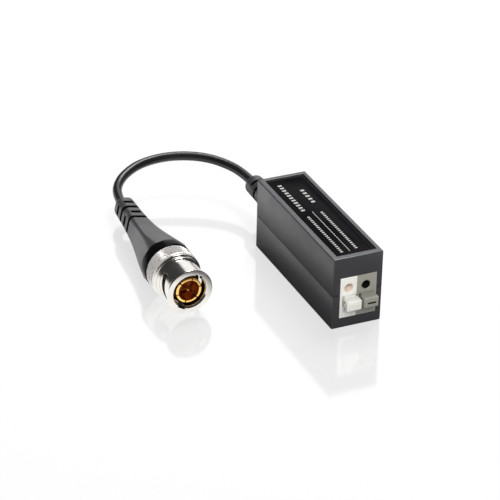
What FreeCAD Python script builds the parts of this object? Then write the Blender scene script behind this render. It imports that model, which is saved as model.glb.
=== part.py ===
import FreeCAD, Part
import math
import os
import Sketcher
from FreeCAD import Placement, Rotation, Vector

# A passive video balun: a two-part moulded case with a push-button wire terminal in its
# front face, and a short coaxial lead that ends in a bayonet plug.
# Millimetres. The origin is the centre of the case's bottom face. The terminal faces -Y,
# the lead leaves at +Y, and +Z is up. The plug lies beside the case on the same surface.

SIZES = {
    # case
    "case_width": 16.0,
    "case_length": 53.8,
    "case_height": 23.2,
    "split_height": 11.0,
    "wall": 1.5,
    "edge_round": 0.4,
    "corner_round": 0.35,
    "seam_chamfer": 0.18,
    "tongue_thick": 0.65,
    "tongue_height": 1.3,
    "fit_gap": 0.05,
    "panel_left": 6.2,
    "panel_right": 6.6,
    "panel_front": 24.95,
    "panel_back": 25.3,
    "panel_depth": 0.95,
    "label_thick": 0.2,
    "label_gap": 0.1,
    "label_gap_right": 0.4,
    "rib_thick": 1.0,
    "stop_inner": 3.5,
    "stop_outer": 5.5,
    "stop_rise": 0.6,
    # push-button terminal
    "block_left": -5.55,
    "module_width": 5.35,
    "plate_thick": 1.05,
    "block_bottom": 3.3,
    "block_top": 16.6,
    "block_depth": 12.5,
    "block_wall": 0.8,
    "block_face": 1.2,
    "boss_y": -22.6,
    "boss_lift": 2.2,
    "boss_radius": 1.0,
    "boss_height": 0.4,
    "wire_radius": 1.35,
    "wire_height": 12.9,
    "wire_guide": 4.0,
    "wire_funnel": 0.2,
    "white_centre": -2.65,
    "grey_centre": 2.82,
    "window_low": 7.1,
    "window_high": 10.5,
    # push buttons
    "head_width": 4.95,
    "head_depth": 2.4,
    "head_low": 7.2,
    "head_high": 10.4,
    "head_gap": 1.2,
    "head_round": 0.25,
    "stem_left": 1.5,
    "stem_right": 2.2,
    "stem_low": 7.35,
    "stem_high": 10.25,
    "stem_length": 5.6,
    "shoulder_low": 6.5,
    "shoulder_high": 11.0,
    "shoulder_depth": 1.4,
    "nose_length": 1.6,
    "nose_height": 1.2,
    "driver_slot_width": 2.7,
    "driver_slot_height": 0.45,
    "driver_slot_depth": 0.6,
    "driver_slot_centre": 8.7,
    "driver_slot_side": 0.28,
    # clamps inside the terminal
    "strip_thick": 0.35,
    "bar_thick": 0.6,
    "bar_y": -16.8,
    "strip_width": 3.2,
    "strip_side": 0.3,
    "strip_foot": 6.2,
    "strip_bend": 1.2,
    "strip_rear": 0.5,
    "strip_back_gap": 1.6,
    "strip_knee": 0.6,
    "strip_shin": 3.2,
    "strip_lean": 1.1,
    "strip_height": 6.1,
    "module_floor": 1.0,
    "module_clearance": 0.2,
    "pin_width": 1.0,
    # circuit board and what stands on it
    "board_thick": 1.0,
    "board_width": 12.6,
    "board_front": -24.6,
    "board_back": 20.4,
    "lead_radius": 0.3,
    "lead_hole": 0.35,
    "lead_tail": 0.5,
    "core_outer": 5.0,
    "core_inner": 2.5,
    "core_height": 5.0,
    "core_y": 0.5,
    "turn_thick": 0.5,
    "core_chamfer": 0.5,
    "board_chamfer": 0.4,
    "arrester_radius": 2.7,
    "arrester_reach": 4.6,
    "arrester_length": 6.0,
    "arrester_cap": 1.2,
    "arrester_step": 0.25,
    "arrester_y": -9.2,
    "capacitor_radius": 3.0,
    "capacitor_reach": 2.4,
    "capacitor_lift": 0.8,
    "capacitor_round": 0.9,
    "capacitor_thick": 2.4,
    "capacitor_y": 9.6,
    "resistor_radius": 1.1,
    "resistor_reach": 4.2,
    "resistor_cap": 1.3,
    "resistor_step": 0.2,
    "resistor_length": 5.6,
    "resistor_y": 13.4,
    "resistor_pitch": 3.4,
    "signal_lead_radius": 0.45,
    "shield_lead_radius": 0.6,
    # gland in the back wall
    "gland_height": 10.5,
    "gland_end": 46.5,
    "gland_root_radius": 3.95,
    "gland_end_radius": 3.2,
    "gland_taper": 7.5,
    "gland_swell": 0.15,
    "gland_neck_radius": 3.0,
    "gland_flange_radius": 4.3,
    "gland_flange": 1.6,
    "gland_slot": 0.95,
    "gland_slot_pitch": 3.3,
    "gland_slot_first": 4.2,
    "gland_web": 1.75,
    "gland_end_round": 0.4,
    # cable
    "cable_radius": 1.5,
    # plug, along its own axis: distances behind the front plane
    "plug_front_x": -42.864,
    "plug_front_y": -4.686,
    "plug_height": 7.8,
    "plug_yaw": 0.4,
    "nut_front": 1.0,
    "rim_radius": 7.15,
    "rim_length": 0.75,
    "rim_round": 0.3,
    "rim_slope": 0.3,
    "mouth_flare": 0.5,
    "mouth_depth": 0.7,
    "barrel_radius": 6.6,
    "collar_start": 8.75,
    "collar_radius": 7.1,
    "collar_slope": 0.4,
    "collar_end": 9.8,
    "collar_groove": 0.4,
    "collar_root": 6.9,
    "bead_radius": 7.5,
    "bead_end": 10.8,
    "knurl_start": 11.1,
    "knurl_end": 16.3,
    "knurl_radius": 7.75,
    "knurl_bevel": 0.3,
    "knurl_depth": 0.22,
    "knurl_half_width": 0.45,
    "nut_bore": 4.95,
    "nut_shoulder": 8.8,
    "nut_counterbore": 6.45,
    "ring_groove_radius": 6.95,
    "ring_groove_start": 13.95,
    "ring_groove_width": 0.9,
    "key_width": 2.5,
    "key_depth": 0.75,
    "key_length": 3.9,
    "key_angle": 30.0,
    "cam_width": 2.1,
    "cam_start": 3.0,
    "cam_rise": 3.8,
    "cam_turn": 93.0,
    "cam_open_at": 30.0,
    "latch_radius": 1.25,
    "contact_start": 1.9,
    "contact_end": 9.4,
    "contact_radius": 4.1,
    "contact_bore": 3.25,
    "contact_slot": 0.35,
    "contact_slot_length": 5.2,
    "contact_slot_angle": 17.0,
    "insulator_start": 7.2,
    "insulator_end": 19.0,
    "pin_start": 2.3,
    "pin_radius": 0.68,
    "pin_tip": 0.35,
    "pin_shoulder": 9.2,
    "pin_shoulder_radius": 1.1,
    "pin_end": 17.0,
    "hub_start": 7.6,
    "hub_radius": 4.75,
    "flange_start": 8.9,
    "flange_end": 10.9,
    "flange_radius": 6.4,
    "neck_radius": 4.2,
    "neck_end": 24.0,
    "stub_radius": 2.3,
    "stub_bore": 1.2,
    "stub_end": 30.0,
    "gasket_start": 6.4,
    "spring_height": 0.9,
    "spring_thick": 0.3,
    "spring_inner": 4.4,
    "spring_outer": 6.2,
    "thrust_start": 13.1,
    "thrust_thick": 0.8,
    "snap_start": 14.0,
    "snap_thick": 0.8,
    "snap_inner": 5.2,
    "snap_outer": 6.85,
    "snap_gap": 2.2,
    "band_start": 16.6,
    "band_end": 20.2,
    "band_radius": 7.75,
    "band_round": 0.35,
    "band_bore": 4.25,
    "spigot_radius": 5.0,
    "spigot_end": 23.5,
    "ferrule_start": 24.2,
    "ferrule_end": 34.0,
    "ferrule_corner": 3.175,
    "ferrule_half_flats": 2.75,
    "boot_bore_end": 34.6,
    "boot_bore": 3.3,
    "boot_roll": 12.0,
    "flex_slot": 1.15,
    "ring_slot_floor": 2.45,
    "side_slot_floor": 2.35,
    "side_slot_half": 1.7,
    "slot_reach": 6.0,
}

# Places along the case: ribs of the upper half, and ledges of the lower half
UPPER_RIBS = ["0 - 11.0", "5.0", "17.0"]
LEDGES = [("0 - 21.0", "0 - 12.0"), ("0 - 4.0", "4.0"), ("12.0", "19.0")]

KNURL_FLUTES = 54
CONTACT_SLOTS = 6
TURNS_PER_WINDING = 8
TURN_STEP = 18.0

# The boot's section: its distance behind the front plane, its half width, its corner radius, and
# how far the soft tail leans to the plug's left, where minus is to its right
BOOT_SECTIONS = [
    (20.2, 6.55, 3.4, 0.0),
    (24.0, 5.75, 2.2, 0.0),
    (28.5, 4.9, 1.4, -0.06),
    (33.0, 4.18, 1.1, -0.21),
    (38.0, 3.55, 1.1, -0.38),
    (44.0, 3.2, 1.5, -0.65),
    (50.0, 3.08, 2.0, -1.0),
    (57.7, 2.9, 2.2, -1.5),
]
# Each slot's distance behind the front plane, and the boot's lean there
RING_SLOTS = [(43.7, -0.64), (50.6, -1.04)]
SIDE_SLOTS = [(47.1, -0.83), (54.0, -1.26)]

# Points of the lead's route, from the gland to the boot
ROUTE = [
    (0.0, 46.5, 10.5),
    (0.0, 52.5, 10.5),
    (-2.4, 60.0, 11.2),
    (-8.6, 67.0, 12.1),
    (-18.35, 71.5, 12.1),
    (-28.4, 72.0, 11.1),
    (-35.5, 68.8, 9.6),
    (-39.6, 64.1, 8.4),
    (-41.25, 58.4, 7.85),
    (-41.77, 53.01, 7.8),
]

doc = FreeCAD.newDocument("balun")
sizes = doc.addObject("Spreadsheet::Sheet", "sizes")
for row, (name, number) in enumerate(SIZES.items(), start=1):
    sizes.set(f"A{row}", name)
    sizes.set(f"B{row}", str(number))
    sizes.setAlias(f"B{row}", name)
doc.recompute()
pieces = []


def amount(words):
    """The number that a sum such as "wall + case_width/2 - 0.5" stands for."""
    total = 0.0
    sign = 1.0
    for token in words.split():
        if token in "+-":
            sign = 1.0 if token == "+" else -1.0
            continue
        top, _, bottom = token.partition("/")
        number = SIZES[top] if top in SIZES else float(top)
        total += sign * number / (float(bottom) if bottom else 1.0)
        sign = 1.0
    return total


def formula(words):
    """The same sum as an expression on the sheet's cells."""
    out = []
    for token in words.split():
        top = token.partition("/")[0]
        out.append("sizes." + token if top in SIZES else token)
    return " ".join(out)


def opposite(words):
    """The same sum with every sign turned over."""
    turned_over = {"+": "-", "-": "+"}
    return "0 - " + " ".join(turned_over.get(token, token) for token in words.split())


def new_body(label):
    body = doc.addObject("PartDesign::Body", label)
    body.Label = label
    pieces.append(body)
    return body


def sketch_on(body, role, name, offset=None):
    plane = [item for item in body.Origin.OriginFeatures if item.Role == role][0]
    sketch = body.newObject("Sketcher::SketchObject", name)
    sketch.AttachmentSupport = (plane, [""])
    sketch.MapMode = "FlatFace"
    if offset is not None:
        sketch.AttachmentOffset = Placement(Vector(0, 0, amount(offset)), Rotation())
        sketch.setExpression("AttachmentOffset.Base.z", formula(offset))
    return sketch


def pin_point(sketch, line, end, across, along):
    """Hold one end of a line at a place given by two sums."""
    for kind, words in (("DistanceX", across), ("DistanceY", along)):
        here = sketch.addConstraint(Sketcher.Constraint(kind, -1, 1, line, end, amount(words)))
        sketch.setExpression(f"Constraints[{here}]", formula(words))


def outline(sketch, points):
    """A closed outline through points, each a pair of sums."""
    corners = [Vector(amount(across), amount(along), 0) for across, along in points]
    lines = []
    for start, end in zip(corners, corners[1:] + corners[:1]):
        lines.append(sketch.addGeometry(Part.LineSegment(start, end), False))
    for index, line in enumerate(lines):
        after = lines[(index + 1) % len(lines)]
        sketch.addConstraint(Sketcher.Constraint("Coincident", line, 2, after, 1))
    for line, (across, along) in zip(lines, points):
        pin_point(sketch, line, 1, across, along)
    return lines


def rectangle(sketch, left, right, low, high):
    return outline(sketch, [(left, low), (right, low), (right, high), (left, high)])


def circle(sketch, across, along, radius):
    centre = Vector(amount(across), amount(along), 0)
    ring = sketch.addGeometry(Part.Circle(centre, Vector(0, 0, 1), amount(radius)), False)
    pin_point(sketch, ring, 3, across, along)
    held = sketch.addConstraint(Sketcher.Constraint("Radius", ring, amount(radius)))
    sketch.setExpression(f"Constraints[{held}]", formula(radius))
    return ring


def pad(body, sketch, length, reverse=False):
    feature = body.newObject("PartDesign::Pad", sketch.Name + "_pad")
    feature.Profile = sketch
    feature.Length = amount(length)
    feature.setExpression("Length", formula(length))
    feature.Reversed = reverse
    doc.recompute()
    return feature


def pocket(body, sketch, length, reverse=False):
    """Cut the sketch into the body, and make sure that it cuts."""
    before = body.Shape.Volume
    feature = body.newObject("PartDesign::Pocket", sketch.Name + "_cut")
    feature.Profile = sketch
    feature.Length = amount(length)
    feature.setExpression("Length", formula(length))
    feature.Reversed = reverse
    doc.recompute()
    check_cut(body, before, feature)
    return feature


def check_cut(body, before, feature):
    if not body.Shape.Volume < before - 1e-4:
        raise RuntimeError(f"{feature.Label} in {body.Label} cuts nothing")


def turned(body, points, name="profile", cut=False):
    """A profile of (radius, height) sums, turned round the body's Z axis."""
    sketch = sketch_on(body, "XZ_Plane", body.Label + "_" + name)
    outline(sketch, points)
    before = body.Shape.Volume if cut else 0.0
    kind = "PartDesign::Groove" if cut else "PartDesign::Revolution"
    feature = body.newObject(kind, sketch.Name + "_turn")
    feature.Profile = sketch
    feature.ReferenceAxis = (sketch, ["V_Axis"])
    feature.Angle = 360.0
    doc.recompute()
    if cut:
        check_cut(body, before, feature)
    return feature


def edges(shape, test):
    return [f"Edge{index}" for index, edge in enumerate(shape.Edges, start=1) if test(edge)]


def finish_edges(body, kind, words, test, dimension):
    base = body.Tip
    names = edges(base.Shape, test)
    if not names:
        raise RuntimeError(f"no edges to finish on {body.Label}")
    feature = body.newObject(f"PartDesign::{kind}", f"{body.Label}_{kind.lower()}_{len(body.Group)}")
    feature.Base = (base, names)
    setattr(feature, dimension, amount(words))
    feature.setExpression(dimension, formula(words))
    doc.recompute()
    return feature


def fillet(body, words, test):
    return finish_edges(body, "Fillet", words, test, "Radius")


def chamfer(body, words, test):
    return finish_edges(body, "Chamfer", words, test, "Size")


def repeated(body, feature, count, first_angle=0.0):
    """Repeat a feature round the body's Z axis."""
    axis = [item for item in body.Origin.OriginFeatures if item.Role == "Z_Axis"][0]
    pattern = body.newObject("PartDesign::PolarPattern", feature.Name + "_ring")
    pattern.Originals = [feature]
    pattern.Axis = (axis, [""])
    pattern.Angle = 360.0
    pattern.Occurrences = count
    body.Tip = pattern
    doc.recompute()
    return pattern


def all_at(edge, axis, value, slack=1e-4):
    return all(abs(getattr(vertex.Point, axis) - value) < slack for vertex in edge.Vertexes)


def is_upright(edge):
    ends = [vertex.Point for vertex in edge.Vertexes]
    if len(ends) != 2:
        return False
    run = ends[1] - ends[0]
    return abs(run.x) + abs(run.y) < 1e-5 and abs(run.z) > 1e-3


def on_outside(edge):
    """True for an edge on the case's four outer side faces."""
    half_x = SIZES["case_width"] / 2
    half_y = SIZES["case_length"] / 2
    middle = edge.CenterOfMass
    return abs(abs(middle.x) - half_x) < 1e-3 or abs(abs(middle.y) - half_y) < 1e-3


def at_case_corner(edge):
    half_x = SIZES["case_width"] / 2
    half_y = SIZES["case_length"] / 2
    middle = edge.CenterOfMass
    return abs(abs(middle.x) - half_x) < 1e-3 and abs(abs(middle.y) - half_y) < 1e-3


def case_block(body, low, height):
    """The outer block of one half of the case, with its four corners rounded."""
    sketch = sketch_on(body, "XY_Plane", body.Label + "_plan", low)
    rectangle(sketch, "0 - case_width/2", "case_width/2", "0 - case_length/2", "case_length/2")
    pad(body, sketch, height)
    fillet(body, "corner_round", lambda edge: is_upright(edge) and at_case_corner(edge))


def case_pocket(body, name, inset, from_height, depth, downwards):
    """A rectangular hollow, inset from the case's outer faces."""
    sketch = sketch_on(body, "XY_Plane", body.Label + "_" + name, from_height)
    rectangle(
        sketch,
        f"0 - case_width/2 + {inset}",
        f"case_width/2 + {opposite(inset)}",
        f"0 - case_length/2 + {inset}",
        f"case_length/2 + {opposite(inset)}",
    )
    return pocket(body, sketch, depth, reverse=not downwards)


def front_opening(body):
    """The window in the front wall that the wire terminal fills."""
    sketch = sketch_on(body, "XZ_Plane", body.Label + "_window", "case_length/2 - wall - 0.5")
    rectangle(
        sketch,
        "block_left - fit_gap",
        "block_left + module_width + module_width + plate_thick + fit_gap",
        "block_bottom - fit_gap",
        "block_top + fit_gap",
    )
    pocket(body, sketch, "wall + 1.0", reverse=True)


def gland_notch(body):
    """Half of the round hole in the back wall, where the gland's neck is held."""
    sketch = sketch_on(body, "XZ_Plane", body.Label + "_notch", "0 - case_length/2 + wall + 0.5")
    circle(sketch, "0", "gland_height", "gland_neck_radius + fit_gap")
    pocket(body, sketch, "wall + 1.0")


def seam_edges(height):
    def test(edge):
        return all_at(edge, "z", height) and on_outside(edge)

    return test


def make_upper_housing():
    body = new_body("upper_housing")
    case_block(body, "split_height", "case_height - split_height")
    top = SIZES["case_height"]
    fillet(body, "edge_round", lambda edge: all_at(edge, "z", top))
    case_pocket(
        body, "hollow", "wall", "split_height",
        "case_height - split_height - panel_depth - wall", downwards=False,
    )
    case_pocket(
        body, "rebate", "wall - tongue_thick - fit_gap", "split_height",
        "tongue_height + fit_gap", downwards=False,
    )
    panel = sketch_on(body, "XY_Plane", "upper_panel", "case_height")
    rectangle(panel, "0 - panel_left", "panel_right", "0 - panel_front", "panel_back")
    pocket(body, panel, "panel_depth")
    front_opening(body)
    gland_notch(body)
    # upright ribs inside the long walls, which stiffen them
    ribs = sketch_on(body, "XY_Plane", "upper_ribs", "split_height + tongue_height + 1.0")
    for place in UPPER_RIBS:
        rectangle(
            ribs, "0 - case_width/2 + wall - 0.1", "0 - case_width/2 + wall + rib_thick",
            place, place + " + rib_thick",
        )
        rectangle(
            ribs, "case_width/2 - wall - rib_thick", "case_width/2 - wall + 0.1",
            place, place + " + rib_thick",
        )
    pad(body, ribs, "case_height - split_height - tongue_height - panel_depth - wall - 0.9")
    chamfer(body, "seam_chamfer", seam_edges(SIZES["split_height"]))
    return body


def make_lower_housing():
    body = new_body("lower_housing")
    case_block(body, "0", "split_height")
    fillet(body, "edge_round", lambda edge: all_at(edge, "z", 0.0))
    # tongue that locates the upper half, then the hollow inside it
    tongue = sketch_on(body, "XY_Plane", "lower_tongue", "split_height - 0.1")
    rectangle(
        tongue,
        "0 - case_width/2 + wall - tongue_thick", "case_width/2 - wall + tongue_thick",
        "0 - case_length/2 + wall - tongue_thick", "case_length/2 - wall + tongue_thick",
    )
    pad(body, tongue, "tongue_height + 0.1")
    case_pocket(
        body, "hollow", "wall", "split_height + tongue_height",
        "split_height + tongue_height - wall", downwards=True,
    )
    front_opening(body)
    gland_notch(body)
    # ledges under the board's long edges, and two stops at its back edge
    ledges = sketch_on(body, "XY_Plane", "lower_ledges", "wall - 0.1")
    for low, high in LEDGES:
        rectangle(ledges, "0 - case_width/2 + wall - 0.1", "0 - case_width/2 + wall + rib_thick", low, high)
        rectangle(ledges, "case_width/2 - wall - rib_thick", "case_width/2 - wall + 0.1", low, high)
    pad(body, ledges, "block_bottom - board_thick - wall + 0.1")
    stops = sketch_on(body, "XY_Plane", "lower_stops", "wall - 0.1")
    for left, right in (("0 - stop_outer", "0 - stop_inner"), ("stop_inner", "stop_outer")):
        rectangle(stops, left, right, "board_back + fit_gap", "board_back + fit_gap + rib_thick")
    pad(body, stops, "block_bottom - wall + stop_rise")
    split = SIZES["split_height"]
    chamfer(body, "seam_chamfer", seam_edges(split))
    return body


def make_label_panel():
    body = new_body("label_panel")
    sketch = sketch_on(body, "XY_Plane", "label_plan", "case_height - panel_depth")
    rectangle(
        sketch,
        "0 - panel_left + label_gap", "panel_right - label_gap_right",
        "0 - panel_front + label_gap", "panel_back - label_gap",
    )
    pad(body, sketch, "label_thick")
    return body


def make_terminal_module(label, left, centre):
    """One pole of the wire terminal, open on its +X side."""
    body = new_body(label)
    face = "case_length/2"
    block = sketch_on(body, "XZ_Plane", label + "_block", face)
    rectangle(block, left, f"{left} + module_width", "block_bottom", "block_top")
    pad(body, block, "block_depth", reverse=True)
    # hollow for the spring and the button, with the wire guide left solid above the button
    inner = sketch_on(body, "YZ_Plane", label + "_hollow", f"{left} + module_width")
    front = "0 - case_length/2 + block_face"
    back = "0 - case_length/2 + block_depth - block_wall - module_clearance"
    guide = "0 - case_length/2 + wire_guide"
    outline(inner, [
        (front, "block_bottom + module_floor"),
        (back, "block_bottom + module_floor"),
        (back, "block_top - module_floor"),
        (guide, "block_top - module_floor"),
        (guide, "shoulder_high + module_clearance"),
        (front, "shoulder_high + module_clearance"),
    ])
    pocket(body, inner, "module_width - block_wall")
    window = sketch_on(body, "XZ_Plane", label + "_window", face)
    rectangle(window, f"{left} + block_wall", f"{left} + module_width", "window_low", "window_high")
    pocket(body, window, "block_face + 0.1")
    # slot in the floor for the contact bar's solder pin
    slot = sketch_on(body, "XY_Plane", label + "_pin_slot", "block_bottom + module_floor + 0.1")
    rectangle(
        slot, f"{centre} - pin_width/2 - fit_gap", f"{centre} + pin_width/2 + fit_gap",
        "bar_y - fit_gap", "bar_y + bar_thick + fit_gap",
    )
    pocket(body, slot, "module_floor + 0.2")
    wire = sketch_on(body, "XZ_Plane", label + "_wire", face)
    circle(wire, centre, "wire_height", "wire_radius")
    pocket(body, wire, "wire_guide + 0.1")
    plane = -SIZES["case_length"] / 2
    rim = SIZES["wire_radius"]
    chamfer(body, "wire_funnel", lambda edge: all_at(edge, "y", plane)
            and hasattr(edge.Curve, "Radius") and abs(edge.Curve.Radius - rim) < 1e-3)
    return body


def make_terminal_end_plate():
    """Flat plate on the grey module's open side, with a low boss that fits inside it."""
    body = new_body("terminal_end_plate")
    side = "block_left + module_width + module_width"
    plate = sketch_on(body, "YZ_Plane", "plate_outline", side)
    rectangle(plate, "0 - case_length/2", "0 - case_length/2 + block_depth", "block_bottom", "block_top")
    pad(body, plate, "plate_thick")
    boss = sketch_on(body, "YZ_Plane", "plate_boss", side)
    circle(boss, "boss_y", "block_bottom + boss_lift", "boss_radius")
    pad(body, boss, "boss_height", reverse=True)
    return body


def make_button(label, centre):
    """A release button: a wide head outside, and a stem with a shoulder inside the module."""
    body = new_body(label)
    face = "case_length/2 + head_gap + head_depth"
    head = sketch_on(body, "XZ_Plane", label + "_head", face)
    rectangle(head, f"{centre} - head_width/2", f"{centre} + head_width/2", "head_low", "head_high")
    pad(body, head, "head_depth", reverse=True)
    front = -(SIZES["case_length"] / 2 + SIZES["head_gap"] + SIZES["head_depth"])
    back = front + SIZES["head_depth"]
    fillet(body, "head_round", lambda edge: not all_at(edge, "y", back))
    # driver slot in the head's face
    slot = sketch_on(body, "XZ_Plane", label + "_slot", face)
    middle = f"{centre} + driver_slot_side"
    rectangle(
        slot, f"{middle} - driver_slot_width/2", f"{middle} + driver_slot_width/2",
        "driver_slot_centre - driver_slot_height/2", "driver_slot_centre + driver_slot_height/2",
    )
    pocket(body, slot, "driver_slot_depth")
    # stem in side view, with its shoulder behind the module's face and its wedge nose
    stem = sketch_on(body, "YZ_Plane", label + "_stem", f"{centre} - stem_left")
    start = "0 - case_length/2 - head_gap - 0.1"
    shoulder = "0 - case_length/2 + block_face + 0.1"
    neck_end = "0 - case_length/2 + stem_length"
    outline(stem, [
        (start, "stem_low"),
        (shoulder, "stem_low"),
        (shoulder, "shoulder_low"),
        (f"{shoulder} + shoulder_depth", "shoulder_low"),
        (neck_end, "stem_low"),
        (f"{neck_end} + nose_length", "driver_slot_centre"),
        (f"{neck_end} + nose_length", "driver_slot_centre + nose_height"),
        (neck_end, "stem_high"),
        (f"{shoulder} + shoulder_depth", "shoulder_high"),
        (shoulder, "shoulder_high"),
        (shoulder, "stem_high"),
        (start, "stem_high"),
    ])
    pad(body, stem, "stem_left + stem_right")
    return body


def part_feature(label, shape, placement=None):
    piece = doc.addObject("Part::Feature", label)
    piece.Label = label
    piece.Shape = shape
    if placement is not None:
        piece.Placement = placement
    pieces.append(piece)
    return piece


def strip(points, thick, left, right):
    """A bent metal strip: a wire of straight legs in side view, thickened and given its width."""
    path = Part.makePolygon([Vector(left, along, up) for along, up in points])
    section = path.makeOffset2D(thick / 2, 0, True, False, False)
    return section.extrude(Vector(right - left, 0, 0))


def make_clamp(colour, centre):
    """The leaf spring, drawn as it stands with the button pressed, and the contact bar over it."""
    middle = SIZES[centre] + SIZES["strip_side"]
    left = middle - SIZES["strip_width"] / 2
    right = middle + SIZES["strip_width"] / 2
    half = SIZES["strip_thick"] / 2
    floor = SIZES["block_bottom"] + SIZES["module_floor"] + half
    rear = amount("0 - case_length/2 + block_depth - block_wall - module_clearance - strip_back_gap")
    spring = [
        (rear - SIZES["strip_foot"], floor),
        (rear - SIZES["strip_bend"], floor),
        (rear - SIZES["strip_rear"], floor + SIZES["strip_knee"]),
        (rear - SIZES["strip_rear"], floor + SIZES["strip_shin"]),
        (rear - SIZES["strip_lean"], floor + SIZES["strip_height"]),
    ]
    part_feature(f"{colour}_clamp_spring", strip(spring, SIZES["strip_thick"], left, right))
    # contact bar: a plate under the module's roof, a leg at its back and a pin into the board
    thick = SIZES["bar_thick"]
    roof = SIZES["block_top"] - SIZES["module_floor"]
    bar_front = -SIZES["case_length"] / 2 + SIZES["wire_guide"] + 0.1
    leg_front = SIZES["bar_y"]
    bar_length = leg_front + thick - bar_front
    plate = Part.makeBox(right - left, bar_length, thick, Vector(left, bar_front, roof - thick))
    leg_foot = SIZES["block_bottom"] + SIZES["module_floor"]
    leg = Part.makeBox(right - left, thick, roof - thick - leg_foot, Vector(left, leg_front, leg_foot))
    board_bottom = SIZES["block_bottom"] - SIZES["board_thick"]
    low = board_bottom - SIZES["lead_tail"]
    pin = Part.makeBox(
        SIZES["pin_width"], thick, leg_foot - low,
        Vector(SIZES[centre] - SIZES["pin_width"] / 2, leg_front, low),
    )
    part_feature(f"{colour}_contact_bar", plate.fuse([leg, pin]).removeSplitter())


def rounded_route(points):
    """Straight runs joined by tangent arcs, each as large as its two runs allow."""
    points = [Vector(*point) for point in points]
    parts = []
    radii = []
    last = points[0]
    for before, here, after in zip(points, points[1:], points[2:]):
        back = before - here
        ahead = after - here
        turn = math.pi - back.getAngle(ahead)
        reach = 0.45 * min(back.Length, ahead.Length)
        radii.append(reach / math.tan(turn / 2))
        start = here + back.normalize() * reach
        end = here + ahead.normalize() * reach
        inward = (back + ahead).normalize()
        centre = here + inward * (radii[-1] / math.cos(turn / 2))
        middle = centre - inward * radii[-1]
        parts.append(Part.LineSegment(last, start).toShape())
        parts.append(Part.Arc(start, middle, end).toShape())
        last = end
    parts.append(Part.LineSegment(last, points[-1]).toShape())
    return Part.Wire(parts), radii


def tube_along(points, radius, label):
    path, radii = rounded_route(points)
    start = path.Edges[0]
    direction = start.tangentAt(start.FirstParameter)
    ring = Part.Wire(Part.Circle(Vector(*points[0]), direction, radius).toShape())
    tube = path.makePipeShell([ring], True, False)
    ratio = tube.Volume / (math.pi * radius ** 2 * path.Length)
    rounds = [round(one, 1) for one in radii]
    print(f"{label}: length {path.Length:.2f}, radii {rounds}, volume ratio {ratio:.4f}")
    return tube


def lead_places():
    """Where each part's leads go through the board: (x, y) sums."""
    places = [("0 - arrester_reach", "arrester_y"), ("arrester_reach", "arrester_y")]
    places += [("0 - capacitor_reach", "capacitor_y"), ("capacitor_reach", "capacitor_y")]
    for row in ("resistor_y", "resistor_y + resistor_pitch"):
        places += [("0 - resistor_reach", row), ("resistor_reach", row)]
    return places


def make_circuit_board():
    body = new_body("circuit_board")
    plan = sketch_on(body, "XY_Plane", "board_plan", "block_bottom - board_thick")
    rectangle(plan, "0 - board_width/2", "board_width/2", "board_front", "board_back")
    pad(body, plan, "board_thick")
    holes = sketch_on(body, "XY_Plane", "board_holes", "block_bottom")
    for across, along in lead_places():
        circle(holes, across, along, "lead_hole")
    for centre in ("white_centre", "grey_centre"):
        rectangle(
            holes, f"{centre} - pin_width/2 - fit_gap", f"{centre} + pin_width/2 + fit_gap",
            "bar_y - fit_gap", "bar_y + bar_thick + fit_gap",
        )
    pocket(body, holes, "board_thick + 0.1")
    chamfer(body, "board_chamfer", lambda edge: is_upright(edge)
            and abs(abs(edge.CenterOfMass.x) - SIZES["board_width"] / 2) < 1e-3)
    return body


def make_balun():
    """A ferrite ring that lies on the board, and two windings side by side round it."""
    top = SIZES["block_bottom"]
    lift = SIZES["turn_thick"]
    body = new_body("balun_core")
    high = "block_bottom + turn_thick + core_height"
    low = "block_bottom + turn_thick"
    turned(body, [("core_inner", low), ("core_outer", low), ("core_outer", high), ("core_inner", high)])
    low_z = top + lift
    high_z = low_z + SIZES["core_height"]
    chamfer(body, "core_chamfer", lambda edge: all_at(edge, "z", high_z) or all_at(edge, "z", low_z))
    body.Placement = Placement(Vector(0, SIZES["core_y"], 0), Rotation())
    body.setExpression("Placement.Base.y", "sizes.core_y")
    inner = SIZES["core_inner"] - SIZES["turn_thick"]
    outer = SIZES["core_outer"] + SIZES["turn_thick"]
    height = SIZES["core_height"] + 2 * SIZES["turn_thick"]
    wire = SIZES["turn_thick"]
    frame = Part.makeBox(outer - inner, wire, height, Vector(inner, -wire / 2, top))
    hollow = Part.makeBox(
        SIZES["core_outer"] - SIZES["core_inner"], 2 * wire, SIZES["core_height"],
        Vector(SIZES["core_inner"], -wire, top + wire),
    )
    turn = frame.cut(hollow)
    for label, first in (("balun_primary_winding", 27.0), ("balun_secondary_winding", 207.0)):
        turns = []
        for index in range(TURNS_PER_WINDING):
            loop = turn.copy()
            loop.rotate(Vector(0, 0, 0), Vector(0, 0, 1), first + index * TURN_STEP)
            loop.translate(Vector(0, SIZES["core_y"], 0))
            turns.append(loop)
        part_feature(label, Part.makeCompound(turns))


def through_lead(y, reach, height, label):
    """One wire along a part's axis, bent down at both ends and through the board."""
    low = SIZES["block_bottom"] - SIZES["board_thick"] - SIZES["lead_tail"]
    points = [(-reach, y, low), (-reach, y, height), (reach, y, height), (reach, y, low)]
    return tube_along(points, SIZES["lead_radius"], label)


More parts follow.
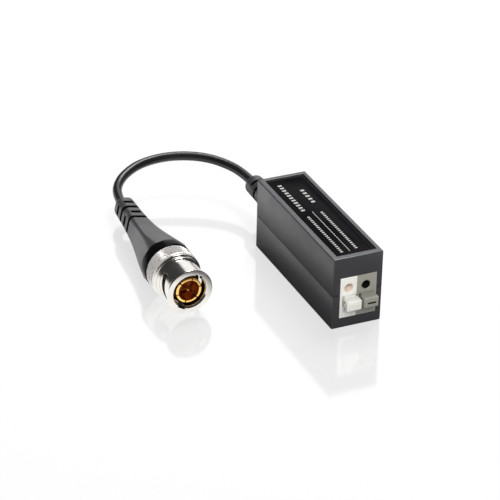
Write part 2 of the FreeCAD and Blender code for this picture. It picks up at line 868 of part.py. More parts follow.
def make_board_parts():
    top = SIZES["block_bottom"]
    radius = SIZES["arrester_radius"]
    half = SIZES["arrester_length"] / 2
    y = SIZES["arrester_y"]
    height = top + radius
    tube = Part.makeCylinder(radius, 2 * half, Vector(-half, y, height), Vector(1, 0, 0))
    cap = SIZES["arrester_cap"]
    core_radius = radius - SIZES["arrester_step"]
    waist = Part.makeCylinder(radius, 2 * (half - cap), Vector(cap - half, y, height), Vector(1, 0, 0))
    waist = waist.cut(Part.makeCylinder(core_radius, 2 * half, Vector(-half, y, height), Vector(1, 0, 0)))
    lead = through_lead(y, SIZES["arrester_reach"], height, "arrester lead")
    part_feature("surge_arrester", tube.cut(waist).fuse(lead).removeSplitter())

    radius = SIZES["capacitor_radius"]
    thick = SIZES["capacitor_thick"]
    y = SIZES["capacitor_y"]
    height = top + radius + SIZES["capacitor_lift"]
    disc = Part.makeCylinder(radius, thick, Vector(0, y - thick / 2, height), Vector(0, 1, 0))
    rims = [edge for edge in disc.Edges if hasattr(edge.Curve, "Radius")]
    disc = disc.makeFillet(SIZES["capacitor_round"], rims)
    low = top - SIZES["board_thick"] - SIZES["lead_tail"]
    legs = []
    for side in (-1, 1):
        foot = Vector(side * SIZES["capacitor_reach"], y, low)
        legs.append(Part.makeCylinder(SIZES["lead_radius"], height - low, foot))
    part_feature("coupling_capacitor", disc.fuse(legs).removeSplitter())

    radius = SIZES["resistor_radius"]
    half = SIZES["resistor_length"] / 2
    height = top + radius
    resistors = []
    for row in range(2):
        y = SIZES["resistor_y"] + row * SIZES["resistor_pitch"]
        core_radius = radius - SIZES["resistor_step"]
        middle = Part.makeCylinder(core_radius, 2 * half - 2, Vector(1 - half, y, height), Vector(1, 0, 0))
        ends = []
        for start in (-half, half - SIZES["resistor_cap"]):
            end = Part.makeCylinder(radius, SIZES["resistor_cap"], Vector(start, y, height), Vector(1, 0, 0))
            ends.append(end)
        lead = through_lead(y, SIZES["resistor_reach"], height, "resistor lead")
        resistors.append(middle.fuse(ends + [lead]).removeSplitter())
    part_feature("resistor_pair", Part.makeCompound(resistors))


def make_leads():
    """The coax's two conductors, from the gland's inner face down to the board."""
    start_y = SIZES["case_length"] / 2 - SIZES["wall"] - SIZES["gland_flange"] - 0.05
    height = SIZES["gland_height"]
    top = SIZES["block_bottom"]
    for label, side in (("signal_lead", 1.0), ("shield_lead", -1.0)):
        points = [
            (0.9 * side, start_y, height),
            (0.9 * side, start_y - 1.5, height),
            (1.3 * side, start_y - 3.6, height - 1.2),
            (1.9 * side, start_y - 4.7, height - 3.6),
            (1.9 * side, start_y - 4.7, top),
        ]
        part_feature(label, tube_along(points, SIZES[label + "_radius"], label))


def make_cable_gland():
    """Moulded strain relief: a flange and neck held by the two halves, and a slotted taper."""
    body = new_body("cable_gland")
    inner = "case_length/2 - wall - gland_flange - 0.05"
    wall_in = "case_length/2 - wall - 0.05"
    wall_out = "case_length/2 + 0.05"
    turned(body, [
        ("0", inner),
        ("gland_flange_radius", inner),
        ("gland_flange_radius", wall_in),
        ("gland_neck_radius", wall_in),
        ("gland_neck_radius", wall_out),
        ("gland_root_radius", wall_out),
        ("gland_end_radius + gland_swell", "gland_end - gland_taper"),
        ("gland_end_radius", "gland_end"),
        ("0", "gland_end"),
    ])
    end = SIZES["gland_end"]
    fillet(body, "gland_end_round", lambda edge: all_at(edge, "z", end))
    # flex slots: pairs from the sides, then pairs from above and below, turn about
    for index in range(4):
        place = f"gland_end - gland_slot_first - {index * SIZES['gland_slot_pitch']:.1f}"
        sketch = sketch_on(body, "XY_Plane", f"gland_slot_{index}", place)
        far = "gland_root_radius + 1.0"
        near = opposite(far)
        web = "gland_web"
        if index % 2 == 0:
            rectangle(sketch, web, far, near, far)
            rectangle(sketch, near, opposite(web), near, far)
        else:
            rectangle(sketch, near, far, web, far)
            rectangle(sketch, near, far, near, opposite(web))
        pocket(body, sketch, "gland_slot", reverse=True)
    body.Placement = Placement(Vector(0, 0, SIZES["gland_height"]), Rotation(Vector(1, 0, 0), -90))
    body.setExpression("Placement.Base.z", "sizes.gland_height")
    return body


def plug_placement():
    """The plug's own Z axis runs backwards along the plug, and its own Y axis is up."""
    back = Vector(-math.sin(math.radians(SIZES["plug_yaw"])), math.cos(math.radians(SIZES["plug_yaw"])), 0)
    up = Vector(0, 0, 1)
    across = up.cross(back)
    turn = Rotation(across, up, back, "ZYX")
    origin = Vector(SIZES["plug_front_x"], SIZES["plug_front_y"], SIZES["plug_height"])
    return Placement(origin, turn)


def place_on_plug(piece):
    piece.Placement = plug_placement()
    piece.setExpression("Placement.Base.x", "sizes.plug_front_x")
    piece.setExpression("Placement.Base.y", "sizes.plug_front_y")
    piece.setExpression("Placement.Base.z", "sizes.plug_height")


def tube_profile(inner, outer, low, high):
    return [(inner, low), (outer, low), (outer, high), (inner, high)]


def cam_cut(body, name, depth, opens_at):
    """A slot that winds back round the nut from opens_at degrees past the keyway."""
    share = 1 - opens_at / SIZES["cam_turn"]
    low = SIZES["cam_start"] + (1 - share) * SIZES["cam_rise"]
    cam = sketch_on(body, "XZ_Plane", name)
    rectangle(cam, "nut_bore - 0.4", depth, f"{low:.4f} - cam_width/2", f"{low:.4f} + cam_width/2")
    turn = Rotation(Vector(0, 1, 0), 90 + SIZES["key_angle"] + opens_at)
    cam.AttachmentOffset = Placement(Vector(0, 0, 0), turn)
    before = body.Shape.Volume
    helix = body.newObject("PartDesign::SubtractiveHelix", name + "_cut")
    helix.Profile = cam
    helix.ReferenceAxis = (cam, ["V_Axis"])
    helix.Mode = 0
    helix.Pitch = SIZES["cam_rise"] * 360.0 / SIZES["cam_turn"]
    helix.Height = SIZES["cam_rise"] * share
    helix.setExpression("Pitch", "sizes.cam_rise * 360 / sizes.cam_turn")
    helix.setExpression("Height", f"sizes.cam_rise * {share:.6f}")
    doc.recompute()
    check_cut(body, before, helix)
    repeated(body, helix, 2)


def make_coupling_nut():
    body = new_body("coupling_nut")
    turned(body, [
        ("nut_bore + mouth_flare", "nut_front"),
        ("rim_radius - rim_round", "nut_front"),
        ("rim_radius", "nut_front + rim_round"),
        ("rim_radius", "nut_front + rim_length"),
        ("barrel_radius", "nut_front + rim_length + rim_slope"),
        ("barrel_radius", "collar_start"),
        ("collar_radius", "collar_start + collar_slope"),
        ("collar_radius", "collar_end"),
        ("collar_root", "collar_end + 0.1"),
        ("collar_root", "collar_end + collar_groove"),
        ("bead_radius", "collar_end + collar_groove + 0.2"),
        ("bead_radius", "bead_end"),
        ("collar_radius", "bead_end + 0.1"),
        ("collar_radius", "knurl_start"),
        ("knurl_radius - knurl_bevel", "knurl_start"),
        ("knurl_radius", "knurl_start + knurl_bevel"),
        ("knurl_radius", "knurl_end - knurl_bevel"),
        ("knurl_radius - knurl_bevel", "knurl_end"),
        ("nut_counterbore", "knurl_end"),
        ("nut_counterbore", "ring_groove_start + ring_groove_width"),
        ("ring_groove_radius", "ring_groove_start + ring_groove_width"),
        ("ring_groove_radius", "ring_groove_start"),
        ("nut_counterbore", "ring_groove_start"),
        ("nut_counterbore", "nut_shoulder"),
        ("nut_bore", "nut_shoulder"),
        ("nut_bore", "nut_front + mouth_depth"),
    ])
    # grip: straight flutes round the knurled band
    flute = sketch_on(body, "XY_Plane", "nut_flute", "knurl_start")
    outline(flute, [
        ("knurl_radius - knurl_depth", "0"),
        ("knurl_radius + 0.3", "0 - knurl_half_width"),
        ("knurl_radius + 0.3", "knurl_half_width"),
    ])
    cut = pocket(body, flute, "knurl_end - knurl_start + 0.1", reverse=True)
    repeated(body, cut, KNURL_FLUTES)
    # two keyways, where the lugs of the socket go in
    key = sketch_on(body, "XY_Plane", "nut_keyway", "0")
    rectangle(key, "0", "nut_bore + key_depth", "0 - key_width/2", "key_width/2")
    key.AttachmentOffset = Placement(Vector(0, 0, 0), Rotation(Vector(0, 0, 1), 90 + SIZES["key_angle"]))
    cut = pocket(body, key, "key_length", reverse=True)
    repeated(body, cut, 2)
    # two cams that wind back from the keyways: a groove inside, then a slot through the wall
    cam_cut(body, "nut_cam_groove", "nut_bore + key_depth", 0.0)
    cam_cut(body, "nut_cam_slot", "rim_radius + 0.6", SIZES["cam_open_at"])
    # the round latch hole at the end of each slot
    latch = sketch_on(body, "XZ_Plane", "nut_latch")
    circle(latch, "0", "cam_start + cam_rise", "latch_radius")
    latch.AttachmentOffset = Placement(
        Vector(0, 0, 0), Rotation(Vector(0, 1, 0), SIZES["key_angle"] + SIZES["cam_turn"])
    )
    cut = pocket(body, latch, "rim_radius + 1.0")
    repeated(body, cut, 2)
    place_on_plug(body)
    return body


def make_plug():
    make_coupling_nut()
    body = new_body("retaining_ring")
    turned(body, tube_profile("snap_inner", "snap_outer", "snap_start", "snap_start + snap_thick"))
    gap = sketch_on(body, "XY_Plane", "ring_gap", "snap_start")
    rectangle(gap, "0 - snap_gap/2", "snap_gap/2", "0", "snap_outer + 1.0")
    pocket(body, gap, "snap_thick + 0.1", reverse=True)
    place_on_plug(body)

    body = new_body("thrust_washer")
    thrust_end = "thrust_start + thrust_thick"
    turned(body, tube_profile("neck_radius + fit_gap", "flange_radius", "thrust_start", thrust_end))
    place_on_plug(body)

    body = new_body("spring_washer")
    top = "flange_end + spring_height"
    turned(body, [
        ("spring_inner", f"{top} - spring_thick"),
        ("spring_outer", "flange_end"),
        ("spring_outer", "flange_end + spring_thick"),
        ("spring_inner", top),
    ])
    place_on_plug(body)

    body = new_body("connector_body")
    turned(body, [
        ("contact_radius", "hub_start"),
        ("hub_radius", "hub_start"),
        ("hub_radius", "flange_start"),
        ("flange_radius", "flange_start"),
        ("flange_radius", "flange_end"),
        ("neck_radius", "flange_end"),
        ("neck_radius", "neck_end"),
        ("stub_radius", "neck_end"),
        ("stub_radius", "stub_end"),
        ("stub_bore", "stub_end"),
        ("stub_bore", "insulator_end"),
        ("contact_bore", "insulator_end"),
        ("contact_bore", "contact_end"),
        ("contact_radius", "contact_end"),
    ])
    place_on_plug(body)

    body = new_body("outer_contact")
    turned(body, [
        ("contact_bore", "contact_start"),
        ("contact_radius - 0.2", "contact_start"),
        ("contact_radius", "contact_start + 0.2"),
        ("contact_radius", "contact_end"),
        ("contact_bore", "contact_end"),
    ])
    slot = sketch_on(body, "XY_Plane", "contact_slot", "contact_start")
    rectangle(slot, "contact_bore - 0.5", "contact_radius + 0.5", "0 - contact_slot/2", "contact_slot/2")
    slot.AttachmentOffset = Placement(
        Vector(0, 0, SIZES["contact_start"]), Rotation(Vector(0, 0, 1), 90 + SIZES["contact_slot_angle"])
    )
    cut = pocket(body, slot, "contact_slot_length", reverse=True)
    repeated(body, cut, CONTACT_SLOTS)
    place_on_plug(body)

    body = new_body("insulator")
    turned(body, [
        ("pin_radius", "insulator_start"),
        ("contact_bore", "insulator_start"),
        ("contact_bore", "insulator_end"),
        ("pin_shoulder_radius", "insulator_end"),
        ("pin_shoulder_radius", "pin_shoulder"),
        ("pin_radius", "pin_shoulder"),
    ])
    place_on_plug(body)

    body = new_body("centre_pin")
    turned(body, [
        ("0", "pin_start"),
        ("pin_radius - pin_tip", "pin_start"),
        ("pin_radius", "pin_start + 0.6"),
        ("pin_radius", "pin_shoulder"),
        ("pin_shoulder_radius", "pin_shoulder"),
        ("pin_shoulder_radius", "pin_end"),
        ("0", "pin_end"),
    ])
    place_on_plug(body)

    body = new_body("sealing_gasket")
    turned(body, tube_profile("contact_radius", "hub_radius", "gasket_start", "hub_start"))
    place_on_plug(body)

    body = new_body("collar_ring")
    turned(body, [
        ("band_bore", "band_start"),
        ("band_radius - band_round", "band_start"),
        ("band_radius", "band_start + band_round"),
        ("band_radius", "band_end - band_round"),
        ("band_radius - band_round", "band_end"),
        ("spigot_radius", "band_end"),
        ("spigot_radius", "spigot_end"),
        ("band_bore", "spigot_end"),
    ])
    place_on_plug(body)

    body = new_body("crimp_ferrule")
    hexagon = sketch_on(body, "XY_Plane", "ferrule_hexagon", "ferrule_start")
    corner = "ferrule_corner"
    slant = "ferrule_corner/2"
    flat = "ferrule_half_flats"
    outline(hexagon, [
        (corner, "0"), (slant, flat), (opposite(slant), flat),
        (opposite(corner), "0"), (opposite(slant), opposite(flat)), (slant, opposite(flat)),
    ])
    pad(body, hexagon, "ferrule_end - ferrule_start")
    bore = sketch_on(body, "XY_Plane", "ferrule_bore", "ferrule_start")
    circle(bore, "0", "0", "stub_radius")
    pocket(body, bore, "ferrule_end - ferrule_start + 0.1", reverse=True)
    place_on_plug(body)
    make_cable_boot()


def rounded_square(sketch, half, corner):
    """A square with rounded corners, centred on the origin."""
    flat = half - corner
    corners = [(1, 1, 0), (-1, 1, 90), (-1, -1, 180), (1, -1, 270)]
    parts = []
    for side_x, side_y, first in corners:
        centre = Vector(side_x * flat, side_y * flat, 0)
        ring = Part.Circle(centre, Vector(0, 0, 1), corner)
        parts.append(Part.ArcOfCircle(ring, math.radians(first), math.radians(first + 90)))
    drawn = []
    for index, arc in enumerate(parts):
        drawn.append(arc)
        drawn.append(Part.LineSegment(arc.EndPoint, parts[(index + 1) % 4].StartPoint))
    for item in drawn:
        sketch.addGeometry(item, False)
    count = len(drawn)
    for index in range(count):
        after = (index + 1) % count
        sketch.addConstraint(Sketcher.Constraint("Tangent", index, 2, after, 1))


def make_cable_boot():
    """Moulded boot: round at the collar, then a soft square that narrows to a slotted tail."""
    body = new_body("cable_boot")
    roll = Rotation(Vector(0, 0, 1), SIZES["boot_roll"])
    sections = []
    for index, (place, half, corner, lean) in enumerate(BOOT_SECTIONS):
        sketch = sketch_on(body, "XY_Plane", f"boot_section_{index}", f"{place}")
        rounded_square(sketch, half, corner)
        sketch.AttachmentOffset = Placement(Vector(lean, 0, place), roll)
        sections.append(sketch)
    doc.recompute()
    loft = body.newObject("PartDesign::AdditiveLoft", "boot_loft")
    loft.Profile = sections[0]
    loft.Sections = sections[1:]
    loft.Ruled = False
    doc.recompute()
    # ring slots all the way round, and short slots in the sides and the top between them
    for index, (place, lean) in enumerate(RING_SLOTS):
        sketch = sketch_on(body, "XY_Plane", f"boot_ring_slot_{index}", f"{place} - flex_slot/2")
        circle(sketch, f"{lean}", "0", "slot_reach")
        circle(sketch, f"{lean}", "0", "ring_slot_floor")
        pocket(body, sketch, "flex_slot", reverse=True)
    for index, (place, lean) in enumerate(SIDE_SLOTS):
        sketch = sketch_on(body, "XY_Plane", f"boot_side_slot_{index}", f"{place} - flex_slot/2")
        for low, high in (("side_slot_floor", "slot_reach"), ("0 - slot_reach", "0 - side_slot_floor")):
            rectangle(sketch, low, high, "0 - side_slot_half", "side_slot_half")
            rectangle(sketch, "0 - side_slot_half", "side_slot_half", low, high)
        sketch.AttachmentOffset = Placement(Vector(lean, 0, place - SIZES["flex_slot"] / 2), roll)
        pocket(body, sketch, "flex_slot", reverse=True)
    # hollow for the collar's spigot and the ferrule
    turned(body, [
        ("0", "band_end - 0.1"),
        ("spigot_radius", "band_end - 0.1"),
        ("spigot_radius", "spigot_end"),
        ("neck_radius", "spigot_end"),
        ("neck_radius", "neck_end"),
        ("boot_bore", "neck_end"),
        ("boot_bore", "boot_bore_end"),
        ("0", "boot_bore_end"),
    ], "bore", cut=True)
    place_on_plug(body)
    return body


make_upper_housing()
make_lower_housing()
make_label_panel()
make_terminal_module("terminal_white", "block_left", "white_centre")
make_terminal_module("terminal_grey", "block_left + module_width", "grey_centre")
make_terminal_end_plate()
make_button("white_button", "white_centre")
make_button("grey_button", "grey_centre")
make_clamp("white", "white_centre")
make_clamp("grey", "grey_centre")
make_circuit_board()
make_balun()
make_board_parts()
make_leads()
make_cable_gland()
make_plug()
part_feature("coax_cable", tube_along(ROUTE, SIZES["cable_radius"], "coax_cable"))
doc.recompute()

for item in doc.Objects:
    if "Invalid" in item.State or "Error" in item.State:
        raise RuntimeError(f"{item.Label} failed: {item.State}")
for piece in pieces:
    shape = piece.Shape
    if shape.isNull() or not shape.isValid() or shape.Volume <= 0:
        raise RuntimeError(f"{piece.Label} has no sound shape")
os.makedirs("parts", exist_ok=True)
for piece in pieces:
    piece.Shape.exportStep(f"parts/{piece.Label}.step")
    print(f"{piece.Label}: {piece.Shape.Volume:.1f} cubic millimetres, {len(piece.Shape.Solids)} solids")
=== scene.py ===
import math

import bmesh
import bpy
from mathutils import Matrix, Vector


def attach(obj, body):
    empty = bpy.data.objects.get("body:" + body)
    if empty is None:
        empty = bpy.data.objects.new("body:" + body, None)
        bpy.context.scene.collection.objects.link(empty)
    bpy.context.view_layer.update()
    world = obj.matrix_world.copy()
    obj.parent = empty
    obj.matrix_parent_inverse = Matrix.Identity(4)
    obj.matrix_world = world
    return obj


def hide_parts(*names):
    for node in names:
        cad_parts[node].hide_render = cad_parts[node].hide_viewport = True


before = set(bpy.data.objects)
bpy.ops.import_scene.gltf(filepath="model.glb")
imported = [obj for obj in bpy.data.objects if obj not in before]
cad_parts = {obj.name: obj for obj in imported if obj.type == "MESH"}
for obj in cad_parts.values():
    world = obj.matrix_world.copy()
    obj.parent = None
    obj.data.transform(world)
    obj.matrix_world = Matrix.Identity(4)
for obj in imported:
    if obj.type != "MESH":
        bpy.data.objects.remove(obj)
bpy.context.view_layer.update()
print("frame loaded")

# Everything below is drawn in millimetres and brought to metres when a piece is finished.
toMetres = 0.001
scene = bpy.context.scene
scene.view_settings.view_transform = "Standard"


# Camera

camera = {
    "place": (-277.58, -555.13, 360.56),
    "down": 29.443,
    "turn": 24.698,
    "roll": 1.399,
    "lens": 171.17,
}


def addCamera():
    data = bpy.data.cameras.new("camera")
    data.lens = camera["lens"]
    data.sensor_width = 36.0
    data.sensor_fit = "HORIZONTAL"
    data.clip_start, data.clip_end = 0.01, 20.0
    view = bpy.data.objects.new("camera", data)
    turn = Matrix.Rotation(math.radians(-camera["turn"]), 4, "Z")
    tip = Matrix.Rotation(math.radians(90 - camera["down"]), 4, "X")
    roll = Matrix.Rotation(math.radians(camera["roll"]), 4, "Z")
    place = Matrix.Translation(Vector(camera["place"]) * toMetres)
    view.matrix_world = place @ turn @ tip @ roll
    scene.collection.objects.link(view)
    scene.camera = view


addCamera()


# Lead: its route in metres, from the gland to the boot

lead = {
    "route": [
        (0.0, 0.0465, 0.0105),
        (0.0, 0.0525, 0.0105),
        (-0.0024, 0.06, 0.0112),
        (-0.0086, 0.067, 0.0121),
        (-0.01835, 0.0715, 0.0121),
        (-0.0284, 0.072, 0.0111),
        (-0.0355, 0.0688, 0.0096),
        (-0.0396, 0.0641, 0.0084),
        (-0.04125, 0.0584, 0.00785),
        (-0.04177, 0.05301, 0.0078),
    ],
    "radius": 0.0015,
    "length": 0.0689,
}


def addLead():
    curve = bpy.data.curves.new("coaxLead", "CURVE")
    curve.dimensions = "3D"
    spline = curve.splines.new("NURBS")
    spline.points.add(len(lead["route"]) - 1)
    for point, place in zip(spline.points, lead["route"]):
        point.co = (*place, 1.0)
        point.radius = lead["radius"]  # keeps the curve's own box close to the lead
    spline.order_u = 3
    spline.use_endpoint_u = True
    spline.resolution_u = 24
    curve.bevel_depth = 1.0
    curve.bevel_resolution = 8
    curve.use_fill_caps = True
    cable = bpy.data.objects.new("coaxLead", curve)
    scene.collection.objects.link(cable)
    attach(cable, "balun")
    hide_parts("coax_cable")
    return cable


coaxLead = addLead()
print("camera and lead placed")


# Mesh helpers

# The plug's own frame: Z runs back along the plug, Y is up and X is to its left seen from the front
plug = {"front": (-42.864, -4.686, 7.8), "turn": 0.4}
plugBack = Matrix.Rotation(math.radians(plug["turn"]), 3, "Z") @ Vector((0, 1, 0))
plugLeft = Vector((0, 0, 1)).cross(plugBack)
plugPlace = Matrix.Translation(plug["front"]) @ Matrix((plugLeft, (0, 0, 1), plugBack)).transposed().to_4x4()
# The gland's own frame: Z runs back along the lead's first stretch
glandPlace = Matrix.Translation((0, 0, 10.5)) @ Matrix.Rotation(math.radians(-90), 4, "X")


def addBox(bm, low, high):
    size = Vector(high) - Vector(low)
    made = bmesh.ops.create_cube(bm, size=1.0)
    bmesh.ops.scale(bm, vec=size, verts=made["verts"])
    bmesh.ops.translate(bm, vec=Vector(low) + size / 2, verts=made["verts"])
    return made["verts"]


def edgesWhere(bm, test):
    return [e for e in bm.edges if all(test(v.co) for v in e.verts)]


def facesWhere(bm, test):
    return [f for f in bm.faces if test(f.calc_center_median(), f.normal)]


def bevelEdges(bm, edges, offset, segments=2):
    return bmesh.ops.bevel(
        bm, geom=edges, offset=offset, affect="EDGES", segments=segments,
        profile=0.5, material=-1, clamp_overlap=True,
    )


def spinProfile(bm, points, steps):
    # points are (radius, height), turned round Z
    verts = [bm.verts.new((radius, 0, height)) for radius, height in points]
    edges = [bm.edges.new(pair) for pair in zip(verts, verts[1:] + verts[:1])]
    bmesh.ops.spin(
        bm, geom=verts + edges, cent=(0, 0, 0), axis=(0, 0, 1), angle=math.tau,
        steps=steps, use_merge=True,
    )
    bmesh.ops.remove_doubles(bm, verts=bm.verts, dist=0.0005)
    bmesh.ops.recalc_face_normals(bm, faces=bm.faces)


def looseObject(bm, name="work"):
    mesh = bpy.data.meshes.new(name)
    bm.to_mesh(mesh)
    bm.free()
    piece = bpy.data.objects.new(name, mesh)
    scene.collection.objects.link(piece)
    return piece


def bakedMesh(piece):
    bpy.context.view_layer.update()
    ready = piece.evaluated_get(bpy.context.evaluated_depsgraph_get())
    return bpy.data.meshes.new_from_object(ready)


def carve(bm, cutters, operation="DIFFERENCE"):
    # cuts each cutter's solid out of the work, or joins it on, one after another
    work = looseObject(bm)
    for cutter in cutters:
        tool = looseObject(cutter, "cutter")
        step = work.modifiers.new("cut", "BOOLEAN")
        step.operation = operation
        step.solver = "EXACT"
        step.object = tool
        cut = bakedMesh(work)
        work.modifiers.clear()
        old = work.data
        work.data = cut
        bpy.data.meshes.remove(old)
        bpy.data.meshes.remove(tool.data)
    out = bmesh.new()
    out.from_mesh(work.data)
    bpy.data.meshes.remove(work.data)
    bmesh.ops.remove_doubles(out, verts=out.verts, dist=0.0005)
    return out


def boxCutter(low, high, place=None):
    bm = bmesh.new()
    addBox(bm, low, high)
    if place is not None:
        bmesh.ops.transform(bm, matrix=place, verts=bm.verts)
    return bm


def spunCutter(points, steps=64, place=None):
    bm = bmesh.new()
    spinProfile(bm, points, steps)
    if place is not None:
        bmesh.ops.transform(bm, matrix=place, verts=bm.verts)
        bmesh.ops.recalc_face_normals(bm, faces=bm.faces)
    return bm


def softened(bm, width, segments, angle):
    # small rounded edges, where two faces meet at more than this angle
    work = looseObject(bm)
    step = work.modifiers.new("edges", "BEVEL")
    step.width = width
    step.segments = segments
    step.limit_method = "ANGLE"
    step.angle_limit = math.radians(angle)
    step.use_clamp_overlap = True
    mesh = bakedMesh(work)
    bpy.data.meshes.remove(work.data)
    out = bmesh.new()
    out.from_mesh(mesh)
    bpy.data.meshes.remove(mesh)
    return out


def roundNormals(mesh, place, radius):
    # the outside that was turned to this radius reflects as one smooth cylinder
    normals = [corner.vector.copy() for corner in mesh.corner_normals]
    back, turn = place.inverted(), place.to_3x3()
    outward = []
    for vert in mesh.vertices:
        flat = (back @ (vert.co / toMetres)).to_3d()
        flat.z = 0
        outward.append(flat)
    for polygon in mesh.polygons:
        if abs((turn.transposed() @ polygon.normal).z) > 0.05:
            continue
        if all(abs(outward[index].length - radius) < 0.02 for index in polygon.vertices):
            for corner in polygon.loop_indices:
                normals[corner] = turn @ outward[mesh.loops[corner].vertex_index].normalized()
    mesh.normals_split_custom_set(normals)


def finishPiece(bm, name, body, nodes, finish, place=None, sharp=40, second=None, turned=None):
    if place is not None:
        bmesh.ops.transform(bm, matrix=place, verts=bm.verts)
    bmesh.ops.scale(bm, vec=(toMetres,) * 3, verts=bm.verts)
    for face in bm.faces:
        face.smooth = True
    mesh = bpy.data.meshes.new(name)
    bm.to_mesh(mesh)
    bm.free()
    mesh.set_sharp_from_angle(angle=math.radians(sharp))
    if turned is not None:
        roundNormals(mesh, place, turned)
    mesh.materials.append(finishes[finish])
    if second is not None:
        mesh.materials.append(finishes[second])
    piece = bpy.data.objects.new(name, mesh)
    scene.collection.objects.link(piece)
    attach(piece, body)
    if nodes:
        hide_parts(*nodes)
    return piece


# Effects that several materials share


def groupWith(name, inputs, outputs):
    group = bpy.data.node_groups.new(name, "ShaderNodeTree")
    for label, kind, value in inputs:
        item = group.interface.new_socket(label, in_out="INPUT", socket_type=kind)
        if value is not None:
            item.default_value = value
    for label, kind in outputs:
        group.interface.new_socket(label, in_out="OUTPUT", socket_type=kind)
    return group, group.nodes.new("NodeGroupInput"), group.nodes.new("NodeGroupOutput")


def link(tree, source, target):
    # source is another node's output or a fixed number
    if isinstance(source, (int, float)):
        target.default_value = source
    else:
        tree.links.new(source, target)


def mathNode(tree, operation, *values):
    node = tree.nodes.new("ShaderNodeMath")
    node.operation = operation
    for value, socket in zip(values, node.inputs):
        link(tree, value, socket)
    return node.outputs[0]


def noiseFac(tree, vector, scale, detail, roughness=0.5):
    node = tree.nodes.new("ShaderNodeTexNoise")
    for label, value in (("Vector", vector), ("Scale", scale), ("Detail", detail), ("Roughness", roughness)):
        link(tree, value, node.inputs[label])
    return node.outputs["Fac"]


def makeMouldGrain():
    # fine sparkle of a moulded surface, with slow waves under it
    group, given, out = groupWith(
        "mouldGrain",
        [
            ("Vector", "NodeSocketVector", None),
            ("Scale", "NodeSocketFloat", 6000.0),
            ("Depth", "NodeSocketFloat", 0.00001),
        ],
        [("Normal", "NodeSocketVector"), ("Mask", "NodeSocketFloat")],
    )
    vector, scale = given.outputs["Vector"], given.outputs["Scale"]
    fine = noiseFac(group, vector, scale, 3.0)
    slow = noiseFac(group, vector, mathNode(group, "MULTIPLY", scale, 0.05), 2.0)
    height = mathNode(group, "ADD", fine, mathNode(group, "MULTIPLY", slow, 0.8))
    bump = group.nodes.new("ShaderNodeBump")
    bump.inputs["Strength"].default_value = 1.0
    link(group, given.outputs["Depth"], bump.inputs["Distance"])
    link(group, height, bump.inputs["Height"])
    link(group, bump.outputs["Normal"], out.inputs["Normal"])
    link(group, slow, out.inputs["Mask"])
    return group


def makeShadeDrift():
    # a colour that drifts a little over the surface, with faint specks
    group, given, out = groupWith(
        "shadeDrift",
        [
            ("Vector", "NodeSocketVector", None),
            ("Scale", "NodeSocketFloat", 120.0),
            ("First", "NodeSocketColor", (1, 1, 1, 1)),
            ("Second", "NodeSocketColor", (0, 0, 0, 1)),
        ],
        [("Color", "NodeSocketColor"), ("Mask", "NodeSocketFloat")],
    )
    noise = noiseFac(group, given.outputs["Vector"], given.outputs["Scale"], 6.0, 0.6)
    spread = group.nodes.new("ShaderNodeMapRange")
    spread.inputs["From Min"].default_value = 0.35
    spread.inputs["From Max"].default_value = 0.65
    mix = group.nodes.new("ShaderNodeMix")
    mix.data_type = "RGBA"
    link(group, noise, spread.inputs["Value"])
    link(group, spread.outputs["Result"], mix.inputs["Factor"])
    link(group, given.outputs["First"], mix.inputs["A"])
    link(group, given.outputs["Second"], mix.inputs["B"])
    link(group, mix.outputs["Result"], out.inputs["Color"])
    link(group, spread.outputs["Result"], out.inputs["Mask"])
    return group


def makeTurnedLines():
    # fine tool lines of a lathe, along and across the part's own Z
    group, given, out = groupWith(
        "turnedLines",
        [
            ("Vector", "NodeSocketVector", None),
            ("Scale", "NodeSocketFloat", 9000.0),
            ("Depth", "NodeSocketFloat", 0.000002),
        ],
        [("Normal", "NodeSocketVector"), ("Mask", "NodeSocketFloat")],
    )
    split = group.nodes.new("ShaderNodeSeparateXYZ")
    link(group, given.outputs["Vector"], split.inputs[0])
    across = mathNode(group, "POWER", mathNode(
        group, "ADD",
        mathNode(group, "MULTIPLY", split.outputs["X"], split.outputs["X"]),
        mathNode(group, "MULTIPLY", split.outputs["Y"], split.outputs["Y"]),
    ), 0.5)
    together = group.nodes.new("ShaderNodeCombineXYZ")
    link(group, across, together.inputs["X"])
    link(group, split.outputs["Z"], together.inputs["Z"])
    lines = noiseFac(group, together.outputs[0], given.outputs["Scale"], 2.0)
    marks = noiseFac(group, given.outputs["Vector"], 700.0, 4.0)
    bump = group.nodes.new("ShaderNodeBump")
    link(group, given.outputs["Depth"], bump.inputs["Distance"])
    link(group, lines, bump.inputs["Height"])
    link(group, bump.outputs["Normal"], out.inputs["Normal"])
    link(group, marks, out.inputs["Mask"])
    return group


mouldGrain = makeMouldGrain()
shadeDrift = makeShadeDrift()
turnedLines = makeTurnedLines()


def place(tree, group, values):
    node = tree.nodes.new("ShaderNodeGroup")
    node.node_tree = group
    for label, value in values.items():
        node.inputs[label].default_value = value
    return node


def newMaterial(name, shaderValues):
    material = bpy.data.materials.new(name)
    material.use_nodes = True
    shader = material.node_tree.nodes["Principled BSDF"]
    for label, value in shaderValues.items():
        shader.inputs[label].default_value = value
    return material, material.node_tree, shader


def objectCoordinates(tree, origin=None, turn=0.0):
    coordinates = tree.nodes.new("ShaderNodeTexCoord")
    if origin is None:
        return coordinates.outputs["Object"]
    mapping = tree.nodes.new("ShaderNodeMapping")
    mapping.vector_type = "TEXTURE"
    mapping.inputs["Location"].default_value = Vector(origin) * toMetres
    mapping.inputs["Rotation"].default_value = (math.radians(-90), 0, math.radians(turn))
    link(tree, coordinates.outputs["Object"], mapping.inputs["Vector"])
    return mapping.outputs["Vector"]


def rgba(colour):
    return (*colour, 1.0)


def shadedBy(tree, shader, vector, first, second, scale):
    drift = place(tree, shadeDrift, {"Scale": scale, "First": rgba(first), "Second": rgba(second)})
    link(tree, vector, drift.inputs["Vector"])
    link(tree, drift.outputs["Color"], shader.inputs["Base Color"])
    return drift.outputs["Mask"]


